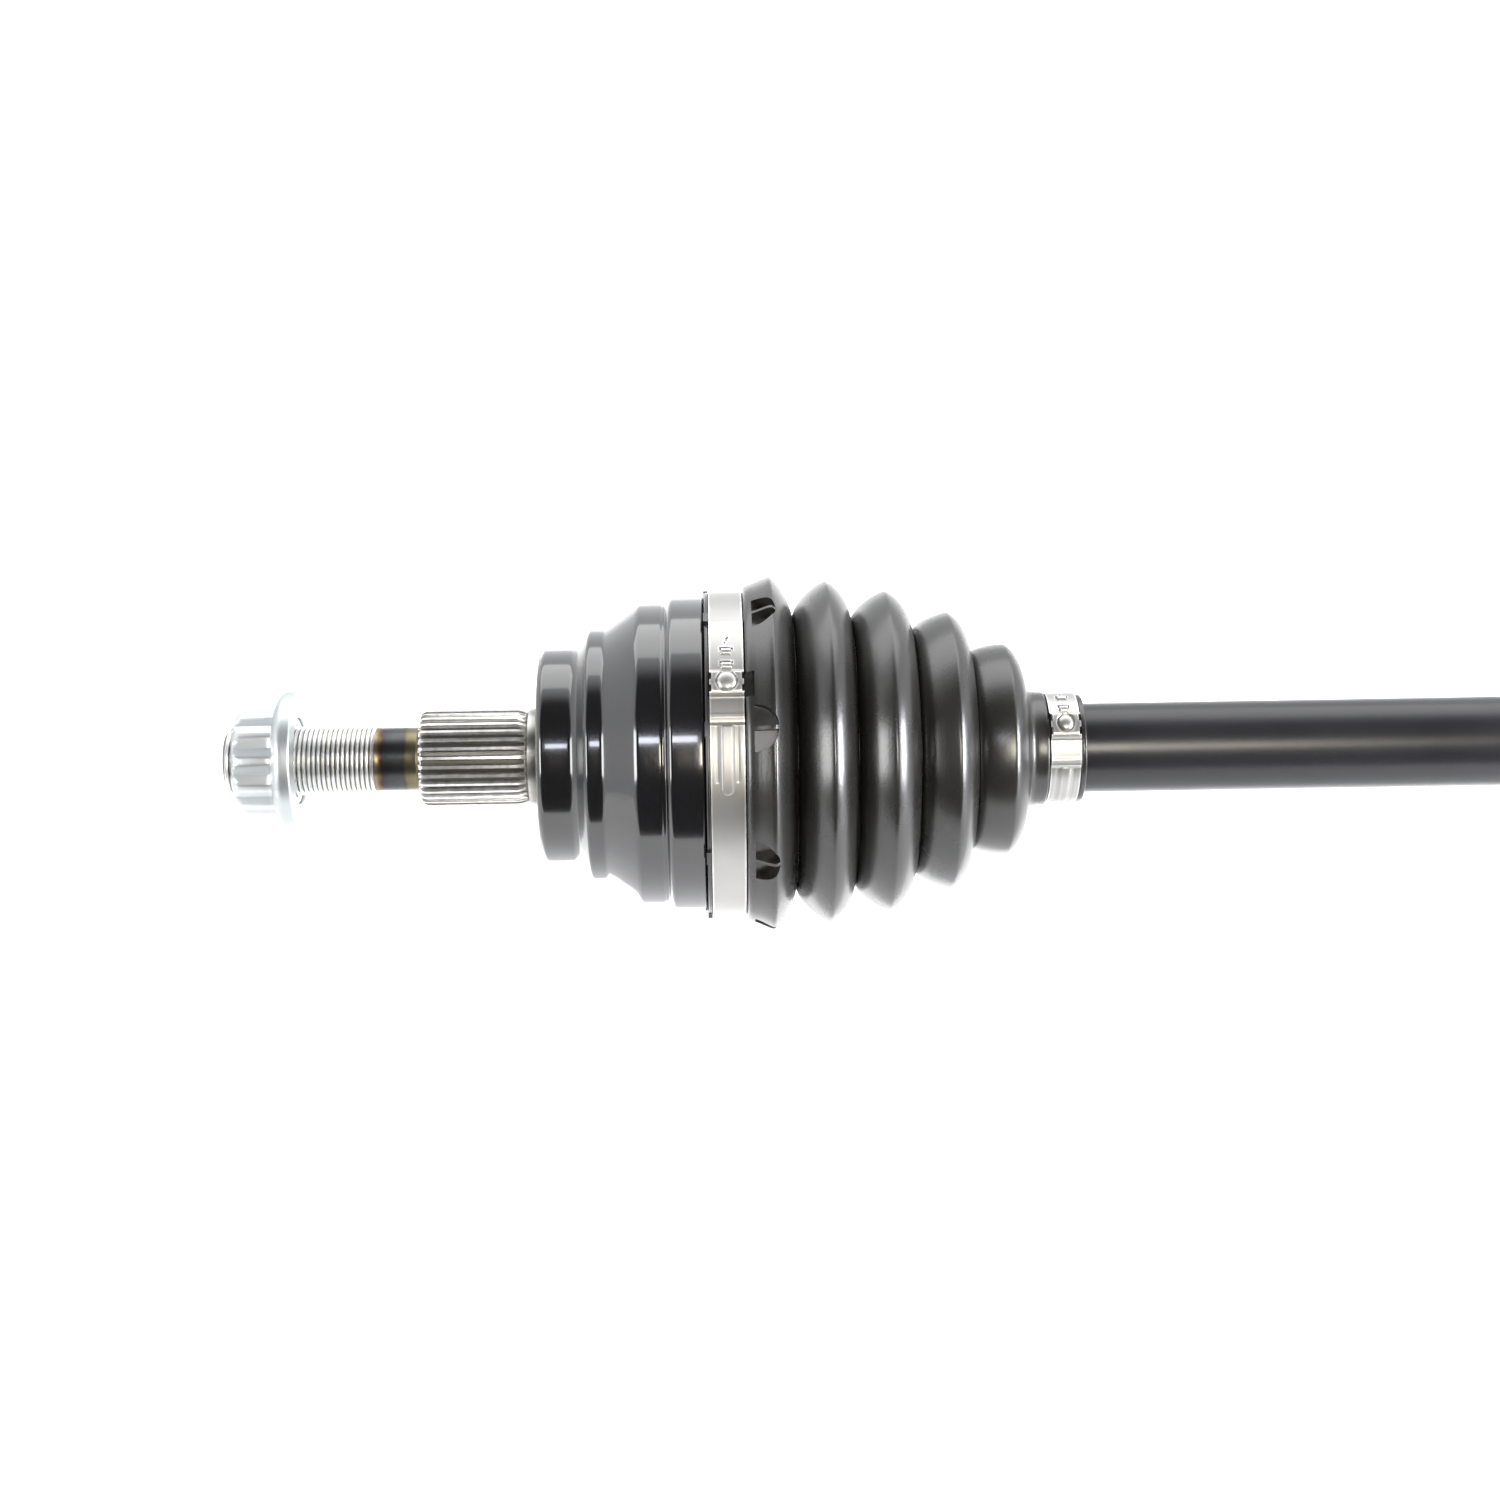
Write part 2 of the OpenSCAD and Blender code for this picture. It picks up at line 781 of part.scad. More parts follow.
// The folds stay wide near the housing and narrow faster towards the bar.
function inner_crest(i) = [
    inner_fold_r + (inner_fold_end_r - inner_fold_r) * pow(i / (inner_folds - 1), 1.6),
    inner_fold_x - (i + 0.45) * inner_fold_pitch
];

function inner_valley(i) = [
    inner_crest(i)[0] - inner_fold_depth,
    inner_fold_x - (i + 0.95) * inner_fold_pitch
];

function inner_boot_folds() = concat(
    [[inner_seat_r + boot_wall, tulip_mouth_x - 1], [inner_fold_r - 6, inner_fold_x]],
    [for (i = [0 : inner_folds - 1]) each [inner_crest(i), inner_valley(i)]],
    [[collar_r, inner_fold_end_x - 3]]
);

module inner_boot() {
    folds = bellows(inner_boot_folds());
    lip_r = inner_seat_r + boot_wall + 1.4;
    lip_x = inner_band_x + large_band_w + 0.1;
    color([0.09, 0.09, 0.095])
        turned(concat(
            [
                [inner_seat_r, inner_boot_x1],
                [lip_r, inner_boot_x1],
                [lip_r, lip_x],
                [inner_seat_r + boot_wall, lip_x]
            ],
            folds,
            [
                [small_boot_r, inner_small_x + small_band_w + 0.1],
                [small_boot_r, inner_small_x - 0.1],
                [small_boot_r + end_bead, inner_small_x - 0.3],
                [small_boot_r + end_bead, inner_boot_x0],
                [small_seat_r, inner_boot_x0],
                [small_seat_r, inner_fold_end_x - 6]
            ],
            reversed(thinned(folds, boot_wall)),
            [[inner_seat_r, tulip_mouth_x - 1]]
        ));
}

// ---------------------------------------------------------------- clamps

// A band with its squeezed ear, which stands out towards the front.
module clamp_band(x0, w, r) {
    ear_w = w * ear_w_share;
    color([0.85, 0.85, 0.86]) {
        ring(x0, x0 + w, r, r + band_t);
        rotate([-ear_angle, 0, 0])
            translate([x0 + (w - ear_w) / 2, -r - band_t - ear_h, -ear_len / 2])
                cube([ear_w, ear_h + band_t / 2, ear_len]);
    }
}

module outer_large_clamp() {
    clamp_band(large_band_x, large_band_w, boot_band_r + fit);
}

module outer_small_clamp() {
    clamp_band(small_band_x, small_band_w, small_boot_r + 0.1);
}

module inner_large_clamp() {
    clamp_band(inner_band_x, large_band_w, inner_seat_r + boot_wall + fit);
}

module inner_small_clamp() {
    clamp_band(inner_small_x, small_band_w, small_boot_r + 0.1);
}

// ---------------------------------------------------------------- hub nut

function nut_outline() = [
    for (i = [0 : 11])
        each [
            polar(nut_d / 2 * 0.9, 30 * i - 15),
            polar(nut_d / 2 * 0.925, 30 * i - 9),
            polar(nut_d / 2, 30 * i - 4),
            polar(nut_d / 2, 30 * i + 4),
            polar(nut_d / 2 * 0.925, 30 * i + 9)
        ]
];

module axle_nut() {
    bevel = 1.6;
    color([0.86, 0.88, 0.88])
        difference() {
            union() {
                intersection() {
                    along_x(nut_top_x)
                        linear_extrude(nut_h - nut_seat_gap)
                            polygon(nut_outline());
                    turned([
                        [0, nut_top_x],
                        [nut_d / 2 - bevel, nut_top_x],
                        [nut_d / 2 + 0.1, nut_top_x + bevel],
                        [nut_d / 2 + 0.1, washer_x],
                        [0, washer_x]
                    ]);
                }
                turned([
                    [0, washer_x - 1],
                    [skirt_r, washer_x - 1],
                    [skirt_r, nut_face_x - 1 - skirt_lip_h],
                    [skirt_r + skirt_lip, nut_face_x - 1 - skirt_lip_h],
                    [skirt_r + skirt_lip, nut_face_x - 1],
                    [0, nut_face_x - 1]
                ]);
            }
            bar(nut_top_x - 1, nut_face_x, 2 * nut_bore_r);
        }
}

// The washer turns on the nut's skirt and is held there by the skirt's lip.
module nut_washer() {
    bevel = 2.4;
    bore = skirt_r + skirt_gap;
    pocket = bore + skirt_lip;
    pocket_x = nut_face_x - 1 - skirt_lip_h - skirt_gap;
    color([0.86, 0.88, 0.88])
        turned([
            [bore, washer_x],
            [washer_d / 2 - bevel, washer_x],
            [washer_d / 2 - 0.6, washer_x + 1.2],
            [washer_d / 2, washer_x + bevel],
            [washer_d / 2, nut_face_x - 0.5],
            [washer_d / 2 - 0.5, nut_face_x],
            [pocket, nut_face_x],
            [pocket, pocket_x],
            [bore, pocket_x]
        ]);
}

outer_joint_housing();
outer_cage();
ball(1);  // ball_1
ball(2);  // ball_2
ball(3);  // ball_3
ball(4);  // ball_4
ball(5);  // ball_5
ball(6);  // ball_6
outer_inner_race();
race_circlip();
race_stop_ring();
outer_boot();
outer_large_clamp();
outer_small_clamp();
axle_shaft();
tripod_spider();
spider_circlip();
spider_stop_ring();
roller_inner_ring(1);  // roller_inner_ring_1
roller_inner_ring(2);  // roller_inner_ring_2
roller_inner_ring(3);  // roller_inner_ring_3
roller_needles(1);  // roller_needles_1
roller_needles(2);  // roller_needles_2
roller_needles(3);  // roller_needles_3
roller_retainers(1);  // roller_retainers_1
roller_retainers(2);  // roller_retainers_2
roller_retainers(3);  // roller_retainers_3
tripod_roller(1);  // tripod_roller_1
tripod_roller(2);  // tripod_roller_2
tripod_roller(3);  // tripod_roller_3
inner_joint_housing();
gearbox_circlip();
inner_boot();
inner_large_clamp();
inner_small_clamp();
axle_nut();
nut_washer();
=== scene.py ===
"""Looks of a front wheel drive shaft: hub stub and nut, ball joint, boots, clamps, bar and gearbox end."""

import json
import logging
import math
from dataclasses import dataclass
from enum import Enum
from typing import Callable, Sequence

import bmesh
import bpy
from mathutils import Matrix, Vector

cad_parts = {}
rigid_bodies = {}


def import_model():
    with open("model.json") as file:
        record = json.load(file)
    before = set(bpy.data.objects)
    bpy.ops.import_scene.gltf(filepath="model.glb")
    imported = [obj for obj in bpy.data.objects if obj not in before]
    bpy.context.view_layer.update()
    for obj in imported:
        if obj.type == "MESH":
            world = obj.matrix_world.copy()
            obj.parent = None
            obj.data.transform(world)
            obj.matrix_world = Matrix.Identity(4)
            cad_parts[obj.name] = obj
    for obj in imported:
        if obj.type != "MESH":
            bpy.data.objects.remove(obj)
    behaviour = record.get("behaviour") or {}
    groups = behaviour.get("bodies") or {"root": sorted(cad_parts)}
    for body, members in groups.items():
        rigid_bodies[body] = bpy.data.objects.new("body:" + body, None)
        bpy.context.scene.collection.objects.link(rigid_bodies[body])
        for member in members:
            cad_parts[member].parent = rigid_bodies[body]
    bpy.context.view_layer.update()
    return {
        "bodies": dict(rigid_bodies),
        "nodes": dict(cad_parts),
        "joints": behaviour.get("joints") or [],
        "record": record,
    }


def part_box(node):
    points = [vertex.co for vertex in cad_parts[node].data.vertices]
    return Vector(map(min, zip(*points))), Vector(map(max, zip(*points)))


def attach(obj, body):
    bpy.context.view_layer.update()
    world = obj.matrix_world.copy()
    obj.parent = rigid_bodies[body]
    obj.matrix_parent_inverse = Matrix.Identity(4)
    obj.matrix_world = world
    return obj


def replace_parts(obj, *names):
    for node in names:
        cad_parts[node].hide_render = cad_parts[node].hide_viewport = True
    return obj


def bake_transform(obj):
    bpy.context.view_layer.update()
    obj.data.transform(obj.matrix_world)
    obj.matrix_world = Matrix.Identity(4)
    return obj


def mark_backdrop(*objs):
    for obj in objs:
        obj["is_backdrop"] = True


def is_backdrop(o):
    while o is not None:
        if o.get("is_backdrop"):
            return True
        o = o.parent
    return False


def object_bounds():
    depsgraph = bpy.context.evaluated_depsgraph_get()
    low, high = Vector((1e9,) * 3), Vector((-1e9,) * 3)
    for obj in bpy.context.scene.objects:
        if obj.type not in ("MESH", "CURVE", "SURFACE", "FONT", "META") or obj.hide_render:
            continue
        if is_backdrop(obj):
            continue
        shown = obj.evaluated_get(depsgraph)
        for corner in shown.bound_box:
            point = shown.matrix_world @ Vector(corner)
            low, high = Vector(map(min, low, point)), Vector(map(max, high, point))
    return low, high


LOG = logging.getLogger("cv_axle")
MM = 0.001
TURN = 2.0 * math.pi

Point = tuple[float, float]
Outline = list[Point]


# ---------------------------------------------------------------- outlines


def arc(x: float, r: float, radius: float, start: float, end: float, steps: int = 8) -> Outline:
    """Points of an arc about (x, r).

    Args:
        x: Place of the arc's centre along the axle.
        r: Distance of the arc's centre from the axle.
        radius: Radius of the arc.
        start: First angle in degrees, 0 towards +X and 90 away from the axle.
        end: Last angle in degrees.
        steps: Number of spans.

    Returns:
        The points in order.
    """
    turns = [math.radians(start + (end - start) * i / steps) for i in range(steps + 1)]
    return [(x + radius * math.cos(a), r + radius * math.sin(a)) for a in turns]


def filleted(points: Outline, radius: float, steps: int = 4) -> Outline:
    """Rounds every inner corner of an open outline.

    Args:
        points: The outline's corners.
        radius: Largest rounding; short edges get less.
        steps: Spans in each rounding.

    Returns:
        The outline with its corners rounded.
    """
    out = [points[0]]
    for before, corner, after in zip(points, points[1:], points[2:]):
        a, c, b = Vector(before), Vector(corner), Vector(after)
        to_a, to_b = a - c, b - c
        reach = min(radius, 0.45 * to_a.length, 0.45 * to_b.length)
        if reach < 1e-7 or to_a.angle(to_b) > math.radians(174):
            out.append(corner)
            continue
        p, q = c + to_a.normalized() * reach, c + to_b.normalized() * reach
        for i in range(steps + 1):
            t = i / steps
            v = p * (1 - t) ** 2 + c * 2 * t * (1 - t) + q * t**2
            out.append((v.x, v.y))
    out.append(points[-1])
    return out


def smoothed(points: Outline, passes: int = 3) -> Outline:
    """Relaxes the inner points of an open outline towards their neighbours.

    Args:
        points: The outline.
        passes: How often it is relaxed.

    Returns:
        The relaxed outline.
    """
    for _ in range(passes):
        inner = [
            ((a[0] + 2 * b[0] + c[0]) / 4, (a[1] + 2 * b[1] + c[1]) / 4)
            for a, b, c in zip(points, points[1:], points[2:])
        ]
        points = [points[0], *inner, points[-1]]
    return points


def bulge(valley: Point, crest: Point, fullness: float, steps: int = 10) -> Outline:
    """One side of a fold, from a valley up to a crest, convex all the way.

    Args:
        valley: Where the side starts.
        crest: Where the side ends.
        fullness: 0 for a straight side, 1 for a quarter of an ellipse.
        steps: Number of spans.

    Returns:
        The points from valley to crest.
    """
    out = []
    for i in range(steps + 1):
        t = math.pi / 2 * i / steps
        along, up = 1 - math.cos(t), math.sin(t)
        up = fullness * up + (1 - fullness) * along
        out.append((valley[0] + (crest[0] - valley[0]) * along, valley[1] + (crest[1] - valley[1]) * up))
    return out


def inset(points: Outline, wall: float) -> Outline:
    """The outline moved towards the axle by a wall, square to itself.

    Args:
        points: The outline.
        wall: How far it moves; a negative wall moves it outwards.

    Returns:
        The moved outline.
    """
    out = []
    for i, (x, r) in enumerate(points):
        a = Vector(points[max(i - 1, 0)])
        b = Vector(points[min(i + 1, len(points) - 1)])
        along = (b - a).normalized()
        out.append((x + along.y * wall, r - along.x * wall))
    return out


def resampled(points: Outline, step: float) -> Outline:
    """The same open outline with a point at least every step.

    Args:
        points: The outline.
        step: Largest distance between two points.

    Returns:
        The outline with more points.
    """
    out = [points[0]]
    for a, b in zip(points, points[1:]):
        n = max(1, math.ceil(math.dist(a, b) / step))
        out += [(a[0] + (b[0] - a[0]) * i / n, a[1] + (b[1] - a[1]) * i / n) for i in range(1, n + 1)]
    return out


# ---------------------------------------------------------------- meshes


def new_object(name: str, verts: Sequence, faces: Sequence, smooth: bool = True) -> bpy.types.Object:
    """Makes a mesh object whose faces point outwards.

    Args:
        name: Name of the piece.
        verts: Vertices in metres.
        faces: Faces as vertex indices.
        smooth: Whether its faces are shaded smooth.

    Returns:
        The object, linked to the scene.
    """
    mesh = bpy.data.meshes.new(name)
    mesh.from_pydata([tuple(v) for v in verts], [], [tuple(f) for f in faces])
    bm = bmesh.new()
    bm.from_mesh(mesh)
    bmesh.ops.remove_doubles(bm, verts=bm.verts, dist=1e-7)
    bmesh.ops.recalc_face_normals(bm, faces=bm.faces)
    bm.to_mesh(mesh)
    bm.free()
    obj = bpy.data.objects.new(name, mesh)
    bpy.context.scene.collection.objects.link(obj)
    if smooth:
        soften(obj)
    return obj


def soften(obj: bpy.types.Object, limit: float = 32.0) -> None:
    """Shades an object smooth, but keeps edges sharper than limit degrees crisp.

    Args:
        obj: The object.
        limit: Sharpest angle in degrees that is still smooth.
    """
    mesh = obj.data
    mesh.shade_smooth()
    bm = bmesh.new()
    bm.from_mesh(mesh)
    for edge in bm.edges:
        edge.smooth = len(edge.link_faces) == 2 and edge.calc_face_angle(0.0) < math.radians(limit)
    bm.to_mesh(mesh)
    bm.free()


def around(x: float, r: float, angle: float) -> Vector:
    """The point at x and radius r, at an angle in radians from +Z towards -Y."""
    return Vector((x, -r * math.sin(angle), r * math.cos(angle)))


def turned(name: str, outline: Outline, segments: int = 192, closed: bool = True) -> bpy.types.Object:
    """Turns an outline about the axle.

    Args:
        name: Name of the piece.
        outline: Points (x, radius) in metres; a radius of 0 at an end closes it in a pole.
        segments: Faces around the axle.
        closed: Whether the last point joins the first, where neither is on the axle.

    Returns:
        The turned object.
    """
    return lofted(name, outline, lambda angle, x, r: r, segments, closed)


def lofted(
    name: str,
    outline: Outline,
    shape: Callable[[float, float, float], float],
    segments: int = 192,
    closed: bool = True,
) -> bpy.types.Object:
    """Turns an outline whose radius also depends on the angle.

    Args:
        name: Name of the piece.
        outline: Points (x, radius) in metres.
        shape: Gives the true radius from the angle, x and the outline's radius.
        segments: Faces around the axle.
        closed: Whether the last point joins the first.

    Returns:
        The lofted object.
    """
    verts: list[Vector] = []
    rings: list[list[int]] = []
    for x, r in outline:
        first = len(verts)
        if r < 1e-7:
            verts.append(Vector((x, 0, 0)))
            rings.append([first] * segments)
            continue
        for j in range(segments):
            angle = TURN * j / segments
            verts.append(around(x, shape(angle, x, r), angle))
        rings.append(list(range(first, first + segments)))
    pairs = list(zip(rings, rings[1:]))
    if closed and outline[0][1] > 1e-7 and outline[-1][1] > 1e-7:
        pairs.append((rings[-1], rings[0]))
    faces = []
    for a, b in pairs:
        for j in range(segments):
            k = (j + 1) % segments
            loop = [a[j], a[k], b[k], b[j]]
            corners = [v for i, v in enumerate(loop) if v not in loop[:i]]
            if len(corners) > 2:
                faces.append(corners)
    return new_object(name, verts, faces)


def joined(name: str, pieces: Sequence[bpy.types.Object]) -> bpy.types.Object:
    """Makes one object of several, which keep their materials.

    Args:
        name: Name of the result.
        pieces: The objects, which are removed.

    Returns:
        The joined object.
    """
    mesh = bpy.data.meshes.new(name)
    bm = bmesh.new()
    slots: list[bpy.types.Material] = []
    for piece in pieces:
        start = len(bm.faces)
        bm.from_mesh(piece.data)
        bm.faces.ensure_lookup_table()
        places = []
        for material in piece.data.materials:
            if material not in slots:
                slots.append(material)
            places.append(slots.index(material))
        for face in bm.faces[start:]:
            face.material_index = places[face.material_index] if places else 0
    bm.to_mesh(mesh)
    bm.free()
    for material in slots:
        mesh.materials.append(material)
    obj = bpy.data.objects.new(name, mesh)
    bpy.context.scene.collection.objects.link(obj)
    for piece in pieces:
        bpy.data.objects.remove(piece)
    return obj


def boolean_cut(obj: bpy.types.Object, cutter: bpy.types.Object) -> None:
    """Cuts one closed piece out of another and removes the cutter.

    Args:
        obj: The piece that is cut.
        cutter: The piece that is taken away.
    """
    modifier = obj.modifiers.new("cut", "BOOLEAN")
    modifier.operation = "DIFFERENCE"
    modifier.solver = "EXACT"
    modifier.object = cutter
    keep_result(obj)
    bpy.data.objects.remove(cutter)
    soften(obj)


def keep_result(obj: bpy.types.Object) -> None:
    """Turns what an object's modifiers make into its plain mesh.

    Args:
        obj: The object, whose modifiers are removed.
    """
    graph = bpy.context.evaluated_depsgraph_get()
    mesh = bpy.data.meshes.new_from_object(obj.evaluated_get(graph), depsgraph=graph)
    obj.modifiers.clear()
    old = obj.data
    obj.data = mesh
    bpy.data.meshes.remove(old)


# ---------------------------------------------------------------- geometry nodes


class TreeKind(Enum):
    """The kinds of node tree that this script builds."""

    GEOMETRY = "GeometryNodeTree"
    SHADER = "ShaderNodeTree"


class Nodes:
    """A node tree under construction."""

    def __init__(self, tree: bpy.types.NodeTree) -> None:
        """Wraps a tree."""
        self.tree = tree

    @classmethod
    def group(cls, name: str, kind: TreeKind) -> "Nodes":
        """Starts a new, empty node group."""
        return cls(bpy.data.node_groups.new(name, kind.value))

    def socket(self, name: str, kind: str, default: object = None, output: bool = False) -> None:
        """Adds a named input or output to the group.

        Args:
            name: Name of the socket.
            kind: Blender's socket type.
            default: Value it starts with.
            output: True for an output.
        """
        side = "OUTPUT" if output else "INPUT"
        item = self.tree.interface.new_socket(name, in_out=side, socket_type=kind)
        if default is not None:
            item.default_value = default

    def add(self, kind: str, inputs: dict | None = None, **settings: object) -> bpy.types.Node:
        """Adds a node.

        Args:
            kind: Blender's node type.
            inputs: Values or output sockets for its inputs, by name or place.
            **settings: Attributes of the node.

        Returns:
            The node.
        """
        node = self.tree.nodes.new(kind)
        for key, value in settings.items():
            setattr(node, key, value)
        for key, value in (inputs or {}).items():
            if isinstance(value, bpy.types.NodeSocket):
                self.tree.links.new(value, node.inputs[key])
            else:
                node.inputs[key].default_value = value
        return node

    def math(self, operation: str, a: object, b: object = 0.0) -> bpy.types.NodeSocket:
        """Adds a Math node and gives its output."""
        kind = "ShaderNodeMath"
        return self.add(kind, {0: a, 1: b}, operation=operation).outputs[0]


def ring_of_copies() -> bpy.types.NodeTree:
    """Builds the tree that sets copies of a piece around the axle.

    Returns:
        A tree with the inputs Piece, Count, Start and Finish.
    """
    n = Nodes.group("ring_of_copies", TreeKind.GEOMETRY)
    n.socket("Geometry", "NodeSocketGeometry")
    n.socket("Piece", "NodeSocketObject")
    n.socket("Count", "NodeSocketInt", 8)
    n.socket("Start", "NodeSocketFloat", 0.0)
    n.socket("Finish", "NodeSocketMaterial")
    n.socket("Geometry", "NodeSocketGeometry", output=True)
    start = n.add("NodeGroupInput")
    step = n.math("DIVIDE", TURN, start.outputs["Count"])
    place = n.math("MULTIPLY", n.add("GeometryNodeInputIndex").outputs[0], step)
    angle = n.math("ADD", place, start.outputs["Start"])
    turn = n.add("ShaderNodeCombineXYZ", {"X": angle})
    line = n.add("GeometryNodeMeshLine", {"Count": start.outputs["Count"], "Offset": (0, 0, 0)})
    piece = n.add("GeometryNodeObjectInfo", {"Object": start.outputs["Piece"]})
    copies = n.add(
        "GeometryNodeInstanceOnPoints",
        {
            "Points": line.outputs[0],
            "Instance": piece.outputs["Geometry"],
            "Rotation": turn.outputs[0],
        },
    )
    real = n.add("GeometryNodeRealizeInstances", {0: copies.outputs[0]})
    paint = n.add(
        "GeometryNodeSetMaterial",
        {"Geometry": real.outputs[0], "Material": start.outputs["Finish"]},
    )
    n.add("NodeGroupOutput", {0: paint.outputs[0]})
    return n.tree


def thread_ridge() -> bpy.types.NodeTree:
    """Builds the tree that winds a thread's ridge about the axle.

    Returns:
        A tree with the inputs Radius, Pitch, Turns, Height, Foot, Crest, Start and Finish.
    """
    n = Nodes.group("thread_ridge", TreeKind.GEOMETRY)
    n.socket("Geometry", "NodeSocketGeometry")
    for name in ("Radius", "Pitch", "Turns", "Height", "Foot", "Crest", "Start"):
        n.socket(name, "NodeSocketFloat", 1.0)
    n.socket("Finish", "NodeSocketMaterial")
    n.socket("Geometry", "NodeSocketGeometry", output=True)
    start = n.add("NodeGroupInput").outputs
    length = n.math("MULTIPLY", start["Pitch"], start["Turns"])
    spiral = n.add(
        "GeometryNodeCurveSpiral",
        {
            "Resolution": 96,
            "Rotations": start["Turns"],
            "Start Radius": start["Radius"],
            "End Radius": start["Radius"],
            "Height": length,
        },
    )
    upright = n.add("GeometryNodeSetCurveNormal", {"Curve": spiral.outputs[0]})
    upright.mode = "Z_UP"
    profile = n.add(
        "GeometryNodeCurvePrimitiveQuadrilateral",
        {
            "Height": start["Height"],
            "Bottom Width": start["Foot"],
            "Top Width": start["Crest"],
            "Offset": 0.0,
        },
        mode="TRAPEZOID",
    )
    stand = n.add("GeometryNodeTransform", {"Geometry": profile.outputs[0], "Rotation": (0, 0, math.pi / 2)})
    sweep = n.add(
        "GeometryNodeCurveToMesh",
        {"Curve": upright.outputs[0], "Profile Curve": stand.outputs[0], "Fill Caps": True},
    )
    place = n.add("ShaderNodeCombineXYZ", {"X": start["Start"]})
    lay = n.add(
        "GeometryNodeTransform",
        {
            "Geometry": sweep.outputs[0],
            "Rotation": (0, math.pi / 2, 0),
            "Translation": place.outputs[0],
        },
    )
    real = n.add("GeometryNodeRealizeInstances", {0: lay.outputs[0]})
    paint = n.add(
        "GeometryNodeSetMaterial", {"Geometry": real.outputs[0], "Material": start["Finish"]}
    )
    n.add("NodeGroupOutput", {0: paint.outputs[0]})
    return n.tree


def grown(name: str, tree: bpy.types.NodeTree, values: dict) -> bpy.types.Object:
    """Makes a plain piece from a geometry tree.

    Args:
        name: Name of the piece.
        tree: The tree.
        values: Values of the tree's inputs by name.

    Returns:
        The piece as a plain mesh.
    """
    seed = bpy.data.meshes.new(name)
    obj = bpy.data.objects.new(name, seed)
    bpy.context.scene.collection.objects.link(obj)
    modifier = obj.modifiers.new("grow", "NODES")
    modifier.node_group = tree
    for item in tree.interface.items_tree:
        if item.item_type == "SOCKET" and item.in_out == "INPUT" and item.name in values:
            modifier[item.identifier] = values[item.name]
    keep_result(obj)
    bm = bmesh.new()
    bm.from_mesh(obj.data)
    bmesh.ops.recalc_face_normals(bm, faces=bm.faces)
    bm.to_mesh(obj.data)
    bm.free()
    return obj


# ---------------------------------------------------------------- finishes


